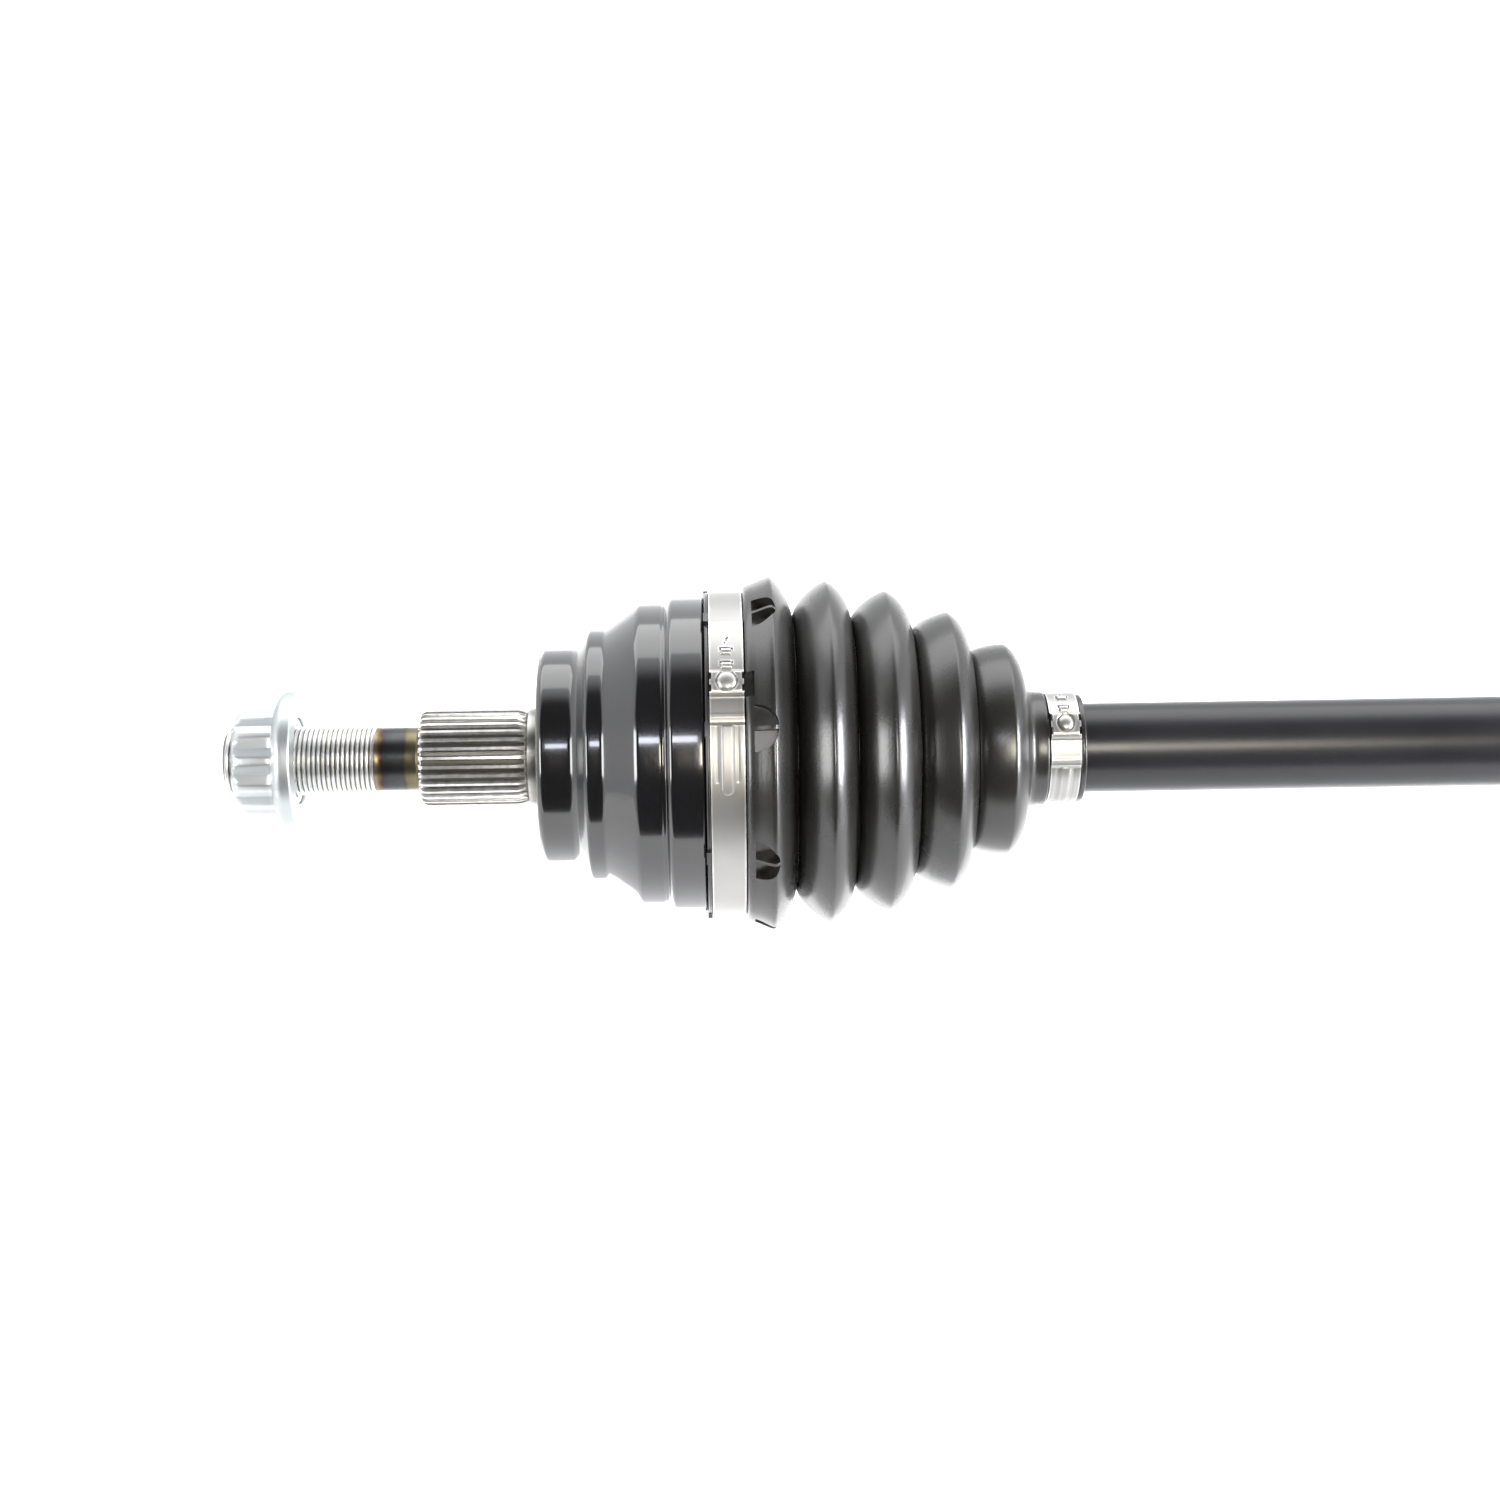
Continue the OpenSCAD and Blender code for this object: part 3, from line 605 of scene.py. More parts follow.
class Effects:
    """Shader effects that several finishes share, each a node group built once."""

    def __init__(self) -> None:
        """Builds the groups."""
        self.turning = self._turning()
        self.grain = self._grain()
        self.dust = self._dust()
        self.wear = self._wear()

    @staticmethod
    def _turning() -> bpy.types.NodeTree:
        """Fine rings that a lathe leaves: outputs Height and Tone.

        Returns:
            The group.
        """
        n = Nodes.group("turning_marks", TreeKind.SHADER)
        n.socket("Vector", "NodeSocketVector")
        n.socket("Lines per metre", "NodeSocketFloat", 3000.0)
        n.socket("Height", "NodeSocketFloat", output=True)
        n.socket("Tone", "NodeSocketFloat", output=True)
        start = n.add("NodeGroupInput").outputs
        parts = n.add("ShaderNodeSeparateXYZ", {0: start["Vector"]}).outputs
        x = n.math("MULTIPLY", parts["X"], start["Lines per metre"])
        y = n.math("MULTIPLY", parts["Y"], 18.0)
        z = n.math("MULTIPLY", parts["Z"], 18.0)
        place = n.add("ShaderNodeCombineXYZ", {0: x, 1: y, 2: z}).outputs[0]
        fine = n.add("ShaderNodeTexNoise", {"Vector": place, "Scale": 1.0, "Detail": 2.0})
        wide = n.add("ShaderNodeTexNoise", {"Vector": place, "Scale": 0.13, "Detail": 1.0})
        n.add("NodeGroupOutput", {0: fine.outputs[0], 1: wide.outputs[0]})
        return n.tree

    @staticmethod
    def _grain() -> bpy.types.NodeTree:
        """Moulded or cast grain: outputs Height and Mottle.

        Returns:
            The group.
        """
        n = Nodes.group("surface_grain", TreeKind.SHADER)
        n.socket("Vector", "NodeSocketVector")
        n.socket("Scale", "NodeSocketFloat", 900.0)
        n.socket("Height", "NodeSocketFloat", output=True)
        n.socket("Mottle", "NodeSocketFloat", output=True)
        start = n.add("NodeGroupInput").outputs
        place = start["Vector"]
        fine = n.add("ShaderNodeTexNoise", {"Vector": place, "Scale": start["Scale"], "Detail": 3.0})
        scale = n.math("MULTIPLY", start["Scale"], 0.04)
        wide = n.add("ShaderNodeTexNoise", {"Vector": place, "Scale": scale, "Detail": 3.0})
        n.add("NodeGroupOutput", {0: fine.outputs[0], 1: wide.outputs[0]})
        return n.tree

    @staticmethod
    def _dust() -> bpy.types.NodeTree:
        """Scattered specks of dust: output Mask.

        Returns:
            The group.
        """
        n = Nodes.group("dust_specks", TreeKind.SHADER)
        n.socket("Vector", "NodeSocketVector")
        n.socket("Scale", "NodeSocketFloat", 260.0)
        n.socket("Amount", "NodeSocketFloat", 0.1)
        n.socket("Mask", "NodeSocketFloat", output=True)
        start = n.add("NodeGroupInput").outputs
        cells = n.add(
            "ShaderNodeTexVoronoi", {"Vector": start["Vector"], "Scale": start["Scale"], "Randomness": 1.0}
        )
        chance = n.add("ShaderNodeSeparateColor", {0: cells.outputs["Color"]}).outputs[0]
        near = n.math("LESS_THAN", cells.outputs["Distance"], n.math("MULTIPLY", chance, 0.16))
        picked = n.math("LESS_THAN", chance, start["Amount"])
        shown = n.math("MULTIPLY", near, picked)
        n.add("NodeGroupOutput", {0: shown})
        return n.tree

    @staticmethod
    def _wear() -> bpy.types.NodeTree:
        """Edges rubbed bright: output Mask.

        Returns:
            The group.
        """
        n = Nodes.group("edge_wear", TreeKind.SHADER)
        n.socket("Vector", "NodeSocketVector")
        n.socket("Reach", "NodeSocketFloat", 0.06)
        n.socket("Mask", "NodeSocketFloat", output=True)
        start = n.add("NodeGroupInput").outputs
        edge = n.add("ShaderNodeNewGeometry").outputs["Pointiness"]
        noise = n.add("ShaderNodeTexNoise", {"Vector": start["Vector"], "Scale": 420.0, "Detail": 4.0})
        over = n.math("SUBTRACT", edge, 0.5)
        rubbed = n.math("MULTIPLY", over, n.math("DIVIDE", 1.0, start["Reach"]))
        broken = n.math("MULTIPLY", rubbed, n.math("ADD", noise.outputs[0], 0.3))
        clean = n.add("ShaderNodeClamp", {0: broken})
        n.add("NodeGroupOutput", {0: clean.outputs[0]})
        return n.tree


class Finish:
    """A finish that builds its material once."""

    effects: Effects
    made: dict[str, bpy.types.Material] = {}
    name: str

    def material(self) -> bpy.types.Material:
        """The finish's material.

        Returns:
            The material, built at the first call.
        """
        if self.name not in Finish.made:
            material = bpy.data.materials.new(self.name)
            material.use_nodes = True
            material.node_tree.nodes.clear()
            n = Nodes(material.node_tree)
            place = n.add("ShaderNodeTexCoord").outputs["Object"]
            shader = n.add("ShaderNodeBsdfPrincipled")
            n.add("ShaderNodeOutputMaterial", {"Surface": shader.outputs[0]})
            self.paint(n, place, shader)
            Finish.made[self.name] = material
        return Finish.made[self.name]

    def paint(self, n: Nodes, place: bpy.types.NodeSocket, shader: bpy.types.Node) -> None:
        """Fills in the shader; each finish has its own way."""
        raise NotImplementedError

    def effect(self, n: Nodes, tree: bpy.types.NodeTree, inputs: dict) -> bpy.types.Node:
        """Places one of the shared effects.

        Args:
            n: The material's nodes.
            tree: The effect's group.
            inputs: Values or sockets by the input's name.

        Returns:
            The effect's node.
        """
        node = n.add("ShaderNodeGroup", node_tree=tree)
        for key, value in inputs.items():
            if isinstance(value, bpy.types.NodeSocket):
                n.tree.links.new(value, node.inputs[key])
            else:
                node.inputs[key].default_value = value
        return node

    @staticmethod
    def spread(n: Nodes, value: bpy.types.NodeSocket, low: float, high: float) -> bpy.types.NodeSocket:
        """Maps a mask from 0..1 to low..high."""
        return n.add("ShaderNodeMapRange", {"Value": value, "To Min": low, "To Max": high}).outputs[0]

    @staticmethod
    def blend(n: Nodes, factor: bpy.types.NodeSocket, a: tuple, b: tuple) -> bpy.types.NodeSocket:
        """Mixes two colours by a mask.

        Args:
            n: The material's nodes.
            factor: The mask.
            a: Colour where the mask is 0.
            b: Colour where the mask is 1.

        Returns:
            The mixed colour.
        """
        mix = n.add("ShaderNodeMix", data_type="RGBA")
        n.tree.links.new(factor, mix.inputs["Factor"])
        for socket, value in (("A", a), ("B", b)):
            target = [s for s in mix.inputs if s.name == socket and s.type == "RGBA"][0]
            if isinstance(value, bpy.types.NodeSocket):
                n.tree.links.new(value, target)
            else:
                target.default_value = (*value, 1.0)
        return [s for s in mix.outputs if s.type == "RGBA"][0]

    @staticmethod
    def relief(n: Nodes, height: bpy.types.NodeSocket, depth: float, strength: float = 1.0) -> bpy.types.Node:
        """A bump of a depth in metres."""
        return n.add("ShaderNodeBump", {"Height": height, "Distance": depth, "Strength": strength})


@dataclass(frozen=True)
class BlackEnamel(Finish):
    """Gloss black enamel over a turned forging.

    Attributes:
        name: Name of the material.
        colour: Colour of the paint.
        roughness: Roughness of the paint's body.
    """

    name: str = "black_enamel"
    colour: tuple = (0.0035, 0.0034, 0.0042)
    roughness: float = 0.16

    def paint(self, n: Nodes, place: bpy.types.NodeSocket, shader: bpy.types.Node) -> None:
        """Paint with a faint orange peel, lathe rings under it and a little dust.

        Args:
            n: The material's nodes.
            place: Object coordinates.
            shader: The shader to fill in.
        """
        rings = self.effect(n, self.effects.turning, {"Vector": place, "Lines per metre": 1400.0})
        peel = self.effect(n, self.effects.grain, {"Vector": place, "Scale": 420.0})
        dust = self.effect(n, self.effects.dust, {"Vector": place, "Scale": 330.0, "Amount": 0.1})
        colour = self.blend(n, dust.outputs[0], self.colour, (0.10, 0.10, 0.11))
        n.tree.links.new(colour, shader.inputs["Base Color"])
        n.tree.links.new(
            self.spread(n, peel.outputs["Mottle"], self.roughness - 0.05, self.roughness + 0.07),
            shader.inputs["Roughness"],
        )
        shader.inputs["Coat Weight"].default_value = 1.0
        shader.inputs["Specular IOR Level"].default_value = 0.7
        shader.inputs["Coat Roughness"].default_value = 0.07
        first = self.relief(n, rings.outputs["Height"], 0.000012)
        second = self.relief(n, peel.outputs["Height"], 0.000014)
        n.tree.links.new(first.outputs[0], second.inputs["Normal"])
        n.tree.links.new(second.outputs[0], shader.inputs["Normal"])


@dataclass(frozen=True)
class SatinPaint(Finish):
    """Satin black paint on the bar.

    Attributes:
        name: Name of the material.
        colour: Colour of the paint.
        roughness: Roughness of the paint.
    """

    name: str = "satin_paint"
    colour: tuple = (0.010, 0.010, 0.012)
    roughness: float = 0.3

    def paint(self, n: Nodes, place: bpy.types.NodeSocket, shader: bpy.types.Node) -> None:
        """Paint with dust and a slight mottle.

        Args:
            n: The material's nodes.
            place: Object coordinates.
            shader: The shader to fill in.
        """
        peel = self.effect(n, self.effects.grain, {"Vector": place, "Scale": 700.0})
        dust = self.effect(n, self.effects.dust, {"Vector": place, "Scale": 420.0, "Amount": 0.16})
        base = self.blend(n, peel.outputs["Mottle"], self.colour, tuple(1.7 * c for c in self.colour))
        colour = self.blend(n, dust.outputs[0], base, (0.20, 0.20, 0.21))
        n.tree.links.new(colour, shader.inputs["Base Color"])
        n.tree.links.new(
            self.spread(n, peel.outputs["Mottle"], self.roughness - 0.06, self.roughness + 0.08),
            shader.inputs["Roughness"],
        )
        bump = self.relief(n, peel.outputs["Height"], 0.00002)
        n.tree.links.new(bump.outputs[0], shader.inputs["Normal"])


@dataclass(frozen=True)
class BootRubber(Finish):
    """Moulded black elastomer of the boots.

    Attributes:
        name: Name of the material.
        colour: Colour of the elastomer.
        roughness: Roughness of the moulded skin.
    """

    name: str = "boot_rubber"
    colour: tuple = (0.0095, 0.0092, 0.0088)
    roughness: float = 0.26

    def paint(self, n: Nodes, place: bpy.types.NodeSocket, shader: bpy.types.Node) -> None:
        """Fine mould grain, ring marks from the mould and a light bloom of dust.

        Args:
            n: The material's nodes.
            place: Object coordinates.
            shader: The shader to fill in.
        """
        grain = self.effect(n, self.effects.grain, {"Vector": place, "Scale": 1100.0})
        rings = self.effect(n, self.effects.turning, {"Vector": place, "Lines per metre": 900.0})
        dust = self.effect(n, self.effects.dust, {"Vector": place, "Scale": 300.0, "Amount": 0.12})
        base = self.blend(n, grain.outputs["Mottle"], self.colour, (0.019, 0.0185, 0.0165))
        colour = self.blend(n, dust.outputs[0], base, (0.09, 0.09, 0.085))
        n.tree.links.new(colour, shader.inputs["Base Color"])
        n.tree.links.new(
            self.spread(n, grain.outputs["Mottle"], self.roughness - 0.05, self.roughness + 0.09),
            shader.inputs["Roughness"],
        )
        shader.inputs["Specular IOR Level"].default_value = 0.85
        first = self.relief(n, rings.outputs["Height"], 0.00002)
        second = self.relief(n, grain.outputs["Height"], 0.000025)
        n.tree.links.new(first.outputs[0], second.inputs["Normal"])
        n.tree.links.new(second.outputs[0], shader.inputs["Normal"])


@dataclass(frozen=True)
class BareMetal(Finish):
    """A bare or plated metal.

    Attributes:
        name: Name of the material.
        colour: Colour of the clean metal.
        shade: Colour that mottles it.
        roughness: Roughness of the metal.
        lines: Lathe or rolling lines per metre.
        line_depth: Depth of those lines in metres.
        worn: Colour of its rubbed edges.
    """

    name: str = "bare_metal"
    colour: tuple = (0.6, 0.6, 0.6)
    shade: tuple = (0.5, 0.5, 0.5)
    roughness: float = 0.32
    lines: float = 5000.0
    line_depth: float = 0.000006
    worn: tuple = (0.9, 0.9, 0.9)

    def paint(self, n: Nodes, place: bpy.types.NodeSocket, shader: bpy.types.Node) -> None:
        """Metal with lines, a mottle and brighter edges.

        Args:
            n: The material's nodes.
            place: Object coordinates.
            shader: The shader to fill in.
        """
        rings = self.effect(n, self.effects.turning, {"Vector": place, "Lines per metre": self.lines})
        grain = self.effect(n, self.effects.grain, {"Vector": place, "Scale": 800.0})
        wear = self.effect(n, self.effects.wear, {"Vector": place, "Reach": 0.08})
        body = self.tint(n, place, self.blend(n, grain.outputs["Mottle"], self.colour, self.shade))
        colour = self.blend(n, wear.outputs[0], body, self.worn)
        n.tree.links.new(colour, shader.inputs["Base Color"])
        shader.inputs["Metallic"].default_value = 1.0
        n.tree.links.new(
            self.spread(n, grain.outputs["Mottle"], self.roughness - 0.08, self.roughness + 0.1),
            shader.inputs["Roughness"],
        )
        first = self.relief(n, rings.outputs["Height"], self.line_depth)
        second = self.relief(n, grain.outputs["Height"], 0.000008)
        n.tree.links.new(first.outputs[0], second.inputs["Normal"])
        n.tree.links.new(second.outputs[0], shader.inputs["Normal"])

    def tint(
        self, n: Nodes, place: bpy.types.NodeSocket, colour: bpy.types.NodeSocket
    ) -> bpy.types.NodeSocket:
        """The metal's own colour, which a heated piece changes along itself."""
        return colour


@dataclass(frozen=True)
class HeatTintedSteel(BareMetal):
    """Bare steel with the temper colours that induction hardening leaves on the neck.

    Attributes:
        neck_from: Outboard end of the coloured stretch.
        neck_to: Inboard end of the coloured stretch.
    """

    neck_from: float = 0.0
    neck_to: float = 1.0

    def tint(
        self, n: Nodes, place: bpy.types.NodeSocket, colour: bpy.types.NodeSocket
    ) -> bpy.types.NodeSocket:
        """Straw, brown, blue-grey and straw again along the neck.

        Args:
            n: The material's nodes.
            place: Object coordinates.
            colour: Colour of the steel.

        Returns:
            The tinted colour.
        """
        x = n.add("ShaderNodeSeparateXYZ", {0: place}).outputs["X"]
        wobble = n.add("ShaderNodeTexNoise", {"Vector": place, "Scale": 160.0, "Detail": 2.0}).outputs[0]
        shift = n.math("MULTIPLY", n.math("SUBTRACT", wobble, 0.5), 0.003)
        moved = n.math("ADD", x, shift)
        along = n.add(
            "ShaderNodeMapRange",
            {"Value": moved, "From Min": self.neck_from, "From Max": self.neck_to},
        ).outputs[0]
        ramp = n.add("ShaderNodeValToRGB", {0: along})
        bands = (
            (0.0, (1.0, 1.0, 1.0)),
            (0.06, (1.15, 1.02, 0.78)),
            (0.13, (0.80, 0.52, 0.30)),
            (0.18, (0.32, 0.24, 0.28)),
            (0.26, (0.24, 0.26, 0.33)),
            (0.58, (0.30, 0.32, 0.37)),
            (0.66, (0.90, 0.78, 0.54)),
            (0.80, (1.0, 0.90, 0.70)),
            (1.0, (1.0, 1.0, 1.0)),
        )
        points = ramp.color_ramp.elements
        while len(points) < len(bands):
            points.new(0.5)
        for point, (position, tone) in zip(points, bands):
            point.position = position
            point.color = (*tone, 1.0)
        mix = n.add("ShaderNodeMix", data_type="RGBA", blend_type="MULTIPLY")
        mix.inputs["Factor"].default_value = 1.0
        colours = [s for s in mix.inputs if s.type == "RGBA"]
        n.tree.links.new(colour, colours[0])
        n.tree.links.new(ramp.outputs[0], colours[1])
        return [s for s in mix.outputs if s.type == "RGBA"][0]


@dataclass(frozen=True)
class Finishes:
    """Every finish of the axle."""

    enamel: Finish
    bar: Finish
    rubber: Finish
    strip: Finish
    zinc: Finish
    steel: Finish
    bearing: Finish
    polished: Finish
    spring: Finish


def make_finishes(neck: Point) -> Finishes:
    """Builds the finishes.

    Args:
        neck: Ends of the heat-tinted neck along the axle.

    Returns:
        The finishes.
    """
    Finish.effects = Effects()
    return Finishes(
        enamel=BlackEnamel(),
        bar=SatinPaint(),
        rubber=BootRubber(),
        strip=BareMetal("stainless_strip", (0.45, 0.445, 0.43), (0.37, 0.365, 0.355), 0.42, 9000.0, 0.000004),
        zinc=BareMetal("zinc_plate", (0.56, 0.59, 0.585), (0.46, 0.50, 0.515), 0.4, 3500.0, 0.000003),
        steel=HeatTintedSteel(
            "machined_steel", (0.215, 0.206, 0.178), (0.125, 0.118, 0.098), 0.33, 4200.0, 0.000006,
            neck_from=neck[0], neck_to=neck[1],
        ),
        bearing=BareMetal("ground_steel", (0.50, 0.49, 0.47), (0.38, 0.36, 0.33), 0.28, 7000.0, 0.000003),
        polished=BareMetal("polished_steel", (0.72, 0.72, 0.73), (0.62, 0.62, 0.63), 0.12, 9000.0, 0.000001),
        spring=BareMetal("spring_steel", (0.16, 0.16, 0.17), (0.11, 0.11, 0.12), 0.42, 6000.0, 0.000004),
    )


def dress(obj: bpy.types.Object, finish: Finish) -> bpy.types.Object:
    """Gives a whole piece one finish.

    Args:
        obj: The piece.
        finish: Its finish.

    Returns:
        The piece.
    """
    obj.data.materials.clear()
    obj.data.materials.append(finish.material())
    return obj


# ---------------------------------------------------------------- sheet metal


Height = Callable[[float, float], float]


@dataclass(frozen=True)
class Strip:
    """A strip of sheet bent around the axle.

    Attributes:
        x0: Outboard edge in mm.
        x1: Inboard edge in mm.
        r: Radius of its inner face in mm.
        thick: Thickness in mm.
    """

    x0: float
    x1: float
    r: float
    thick: float

    def build(
        self,
        name: str,
        angles: Sequence[float],
        rows: Sequence[float],
        height: Height,
        kept: Callable[[float, float], bool],
    ) -> bpy.types.Object:
        """Bends the strip and presses its shapes.

        Args:
            name: Name of the piece.
            angles: Grid places around the axle in degrees above the front.
            rows: Grid places across the strip, 0 to 1.
            height: How far the strip stands out at an angle and a row, in mm.
            kept: Whether the sheet is there at an angle and a row.

        Returns:
            The strip.
        """
        whole = abs(angles[-1] - angles[0]) > 359.9
        n, m = len(angles) - (1 if whole else 0), len(rows)
        verts = []
        for layer in (self.thick, 0.0):
            for a in angles[:n]:
                for v in rows:
                    x = self.x0 + (self.x1 - self.x0) * v
                    turn = math.radians(90.0 - a)
                    verts.append(around(x * MM, (self.r + height(a, v) + layer) * MM, turn))
        cells = set()
        for i in range(n if whole else n - 1):
            a = (angles[i] + angles[i + 1]) / 2
            for j in range(m - 1):
                if kept(a, (rows[j] + rows[j + 1]) / 2):
                    cells.add((i, j))
        faces = []
        for i, j in cells:
            k = (i + 1) % n
            loop = [(i, j), (k, j), (k, j + 1), (i, j + 1)]
            faces.append([a * m + b for a, b in loop])
            faces.append([n * m + a * m + b for a, b in reversed(loop)])
            before = ((i - 1) % n if whole else i - 1, j)
            after = ((i + 1) % n if whole else i + 1, j)
            for cell, (p, q) in (
                ((i, j - 1), (0, 1)),
                (after, (1, 2)),
                ((i, j + 1), (2, 3)),
                (before, (3, 0)),
            ):
                if cell in cells:
                    continue
                (pa, pb), (qa, qb) = loop[p], loop[q]
                low, high = pa * m + pb, qa * m + qb
                faces.append([low, n * m + low, n * m + high, high])
        obj = new_object(name, verts, faces)
        soften(obj, 40.0)
        return obj


def step(value: float, edge: float, width: float) -> float:
    """A smooth step from 0 to 1 that is a width wide about an edge."""
    t = min(1.0, max(0.0, (value - edge) / width + 0.5))
    return t * t * (3 - 2 * t)


def spaced(*marks: tuple[float, float]) -> list[float]:
    """Grid places from marks (end, spacing); the first mark's spacing is unused.

    Args:
        *marks: Pairs of an end and the spacing up to it.

    Returns:
        The grid places.
    """
    out = [marks[0][0]]
    for end, gap in marks[1:]:
        n = max(1, round((end - out[-1]) / gap))
        start = out[-1]
        out += [start + (end - start) * i / n for i in range(1, n + 1)]
    return out


@dataclass(frozen=True)
class EarClamp:
    """An ear clamp: a band that overlaps itself, two hooks in windows, a squeezed ear and a tongue.

    Attributes:
        node: CAD node that it replaces.
        body: Body that it rides on.
        large: Whether it has the large clamp's proportions.
    """

    node: str
    body: str
    large: bool = True

    def build(self) -> list[bpy.types.Object]:
        """Builds the band and the tongue under it.

        Returns:
            The band and the tongue.
        """
        low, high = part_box(self.node)
        x0, x1 = low.x / MM, high.x / MM
        outer = high.z / MM
        thick = 0.8
        r = outer - thick
        k = 50.0 / r  # smaller bands need the same features over more degrees
        dense = 0.36 if self.large else 0.36 * k
        ear = 24.0
        hooks = [ear + 7.2 * k, ear + 13.0 * k]
        overlap = (ear - 14.0 * k, ear + 28.0 * k)
        tongue = (ear - 38.0 * k, ear - 16.0 * k)
        half = math.radians(1.0) * r
        sheet = Strip(x0, x1, r, thick * 0.86)

        width = x1 - x0
        scale = 1.0 if self.large else 0.82

        def along(a: float, middle: float) -> float:
            """Millimetres along the band from a place, upwards."""
            return (a - middle) * half

        def height(a: float, v: float) -> float:
            """Shape pressed into the band.

            Args:
                a: Angle in degrees above the front.
                v: Place across the strip, 0 to 1.

            Returns:
                How far it stands out in mm.
            """
            s, across = along(a, ear), (v - 0.5) * width
            raised = step(a, overlap[0], 1.2 * k) * (1 - step(a, overlap[1], 0.8 * k))
            up = 0.62 * raised
            bump = step(s, -3.4, 1.6) - step(s, 3.6, 1.4)
            up += 1.5 * bump
            d = math.hypot(s - 0.3, across)
            pearl = 2.9 * scale
            up -= 0.5 * (1 - step(d, pearl + 0.35, 0.5)) * bump
            if d < pearl:
                up += 1.15 * math.sqrt(1 - (d / pearl) ** 2)
            up += 0.6 * math.exp(-(((s + 3.7) / 0.5) ** 2)) * raised
            up += 0.35 * math.exp(-((along(a, overlap[0] + 2.2 * k) / 0.6) ** 2))
            for hook in hooks:
                near = along(a, hook)
                if abs(across) < 1.5 * scale and -1.3 < near < 0.55:
                    up += 0.75 - 0.35 * abs(near + 0.4)
            frame = (abs(across), along(a, (tongue[0] + tongue[1]) / 2))
            reach = math.radians((tongue[1] - tongue[0]) / 2) * r
            end = max(0.0, -frame[1] - reach + 1.8 * scale)
            side = math.hypot(frame[0], end)
            edge = 1 - step(a, tongue[1] + 1.5 * k, 1.0 * k)
            up += 0.32 * edge * (1 - step(side, 1.75 * scale, 0.7))
            if -frame[1] < reach * 0.6:
                up -= 0.18 * edge * math.exp(-(((frame[0] - 3.1 * scale) / 0.35) ** 2))
            return up

        def kept(a: float, v: float) -> bool:
            """Leaves the slits around the hooks and the ear's open sides out.

            Args:
                a: Angle in degrees above the front.
                v: Place across the strip, 0 to 1.

            Returns:
                Whether the sheet is there.
            """
            s, across = along(a, ear), (v - 0.5) * width
            if 0.8 < abs(s) < 3.0 and not 0.05 < v < 0.95:
                return False
            for hook in hooks:
                near = along(a, hook)
                if abs(across) < 2.1 * scale and -1.4 < near < 1.4:
                    if not (abs(across) < 1.5 * scale and near < 0.55):
                        return abs(across) > 1.5 * scale and near < -0.7
            near = along(a, hooks[-1]) - 3.9 * scale
            return not (abs(near) < 1.4 and abs(across - 0.25 * near) < 0.35)

        dense_from, dense_to = tongue[0] - 3 * k, overlap[1] + 3 * k
        angles = spaced((dense_from, 0), (dense_to, dense), (dense_from + 360.0, 2.0))
        rows = [i / 30 for i in range(31)]
        band = sheet.build(self.node + "_band", angles, rows, height, kept)
        under = Strip(x0 + 0.5, x1 - 0.5, r - 0.02, 0.3)
        lower = under.build(
            self.node + "_tongue",
            spaced((overlap[0] - 1.0 * k, 0), (overlap[1] + 1.0 * k, 1.0)),
            [0.0, 0.5, 1.0],
            lambda a, v: 0.05,
            lambda a, v: True,
        )
        return [band, lower]

    def dress(self, finishes: Finishes) -> bpy.types.Object:
        """Builds the clamp, gives it its finish and lets it ride.

        Args:
            finishes: The finishes.

        Returns:
            The clamp.
        """
        pieces = [dress(piece, finishes.strip) for piece in self.build()]
        clamp = joined(self.node + "_looks", pieces)
        soften(clamp, 40.0)
        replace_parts(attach(clamp, self.body), self.node)
        return clamp


# ---------------------------------------------------------------- turned bodies with shaped rings


Radius = float | Callable[[float], float]


def ringed(name: str, rings: Sequence[tuple[float, Radius]], segments: int) -> bpy.types.Object:
    """Joins rings about the axle to a closed body.

    Args:
        name: Name of the piece.
        rings: Each ring's place along the axle and its radius in mm, or the radius as a
            function of the angle; the first and last have radius 0 or meet each other.
        segments: Faces around the axle.

    Returns:
        The body.
    """
    tagged = [(x * MM, float(i + 1)) for i, (x, _) in enumerate(rings)]
    flat = [0.0 if not callable(r) and r < 1e-6 else tag for (_, r), (_, tag) in zip(rings, tagged)]
    outline = [(x, tag) for (x, _), tag in zip(tagged, flat)]

    def shape(angle: float, x: float, tag: float) -> float:
        """Radius of the ring with this tag."""
        r = rings[int(tag) - 1][1]
        return (r(angle) if callable(r) else r) * MM

    return lofted(name, outline, shape, segments)


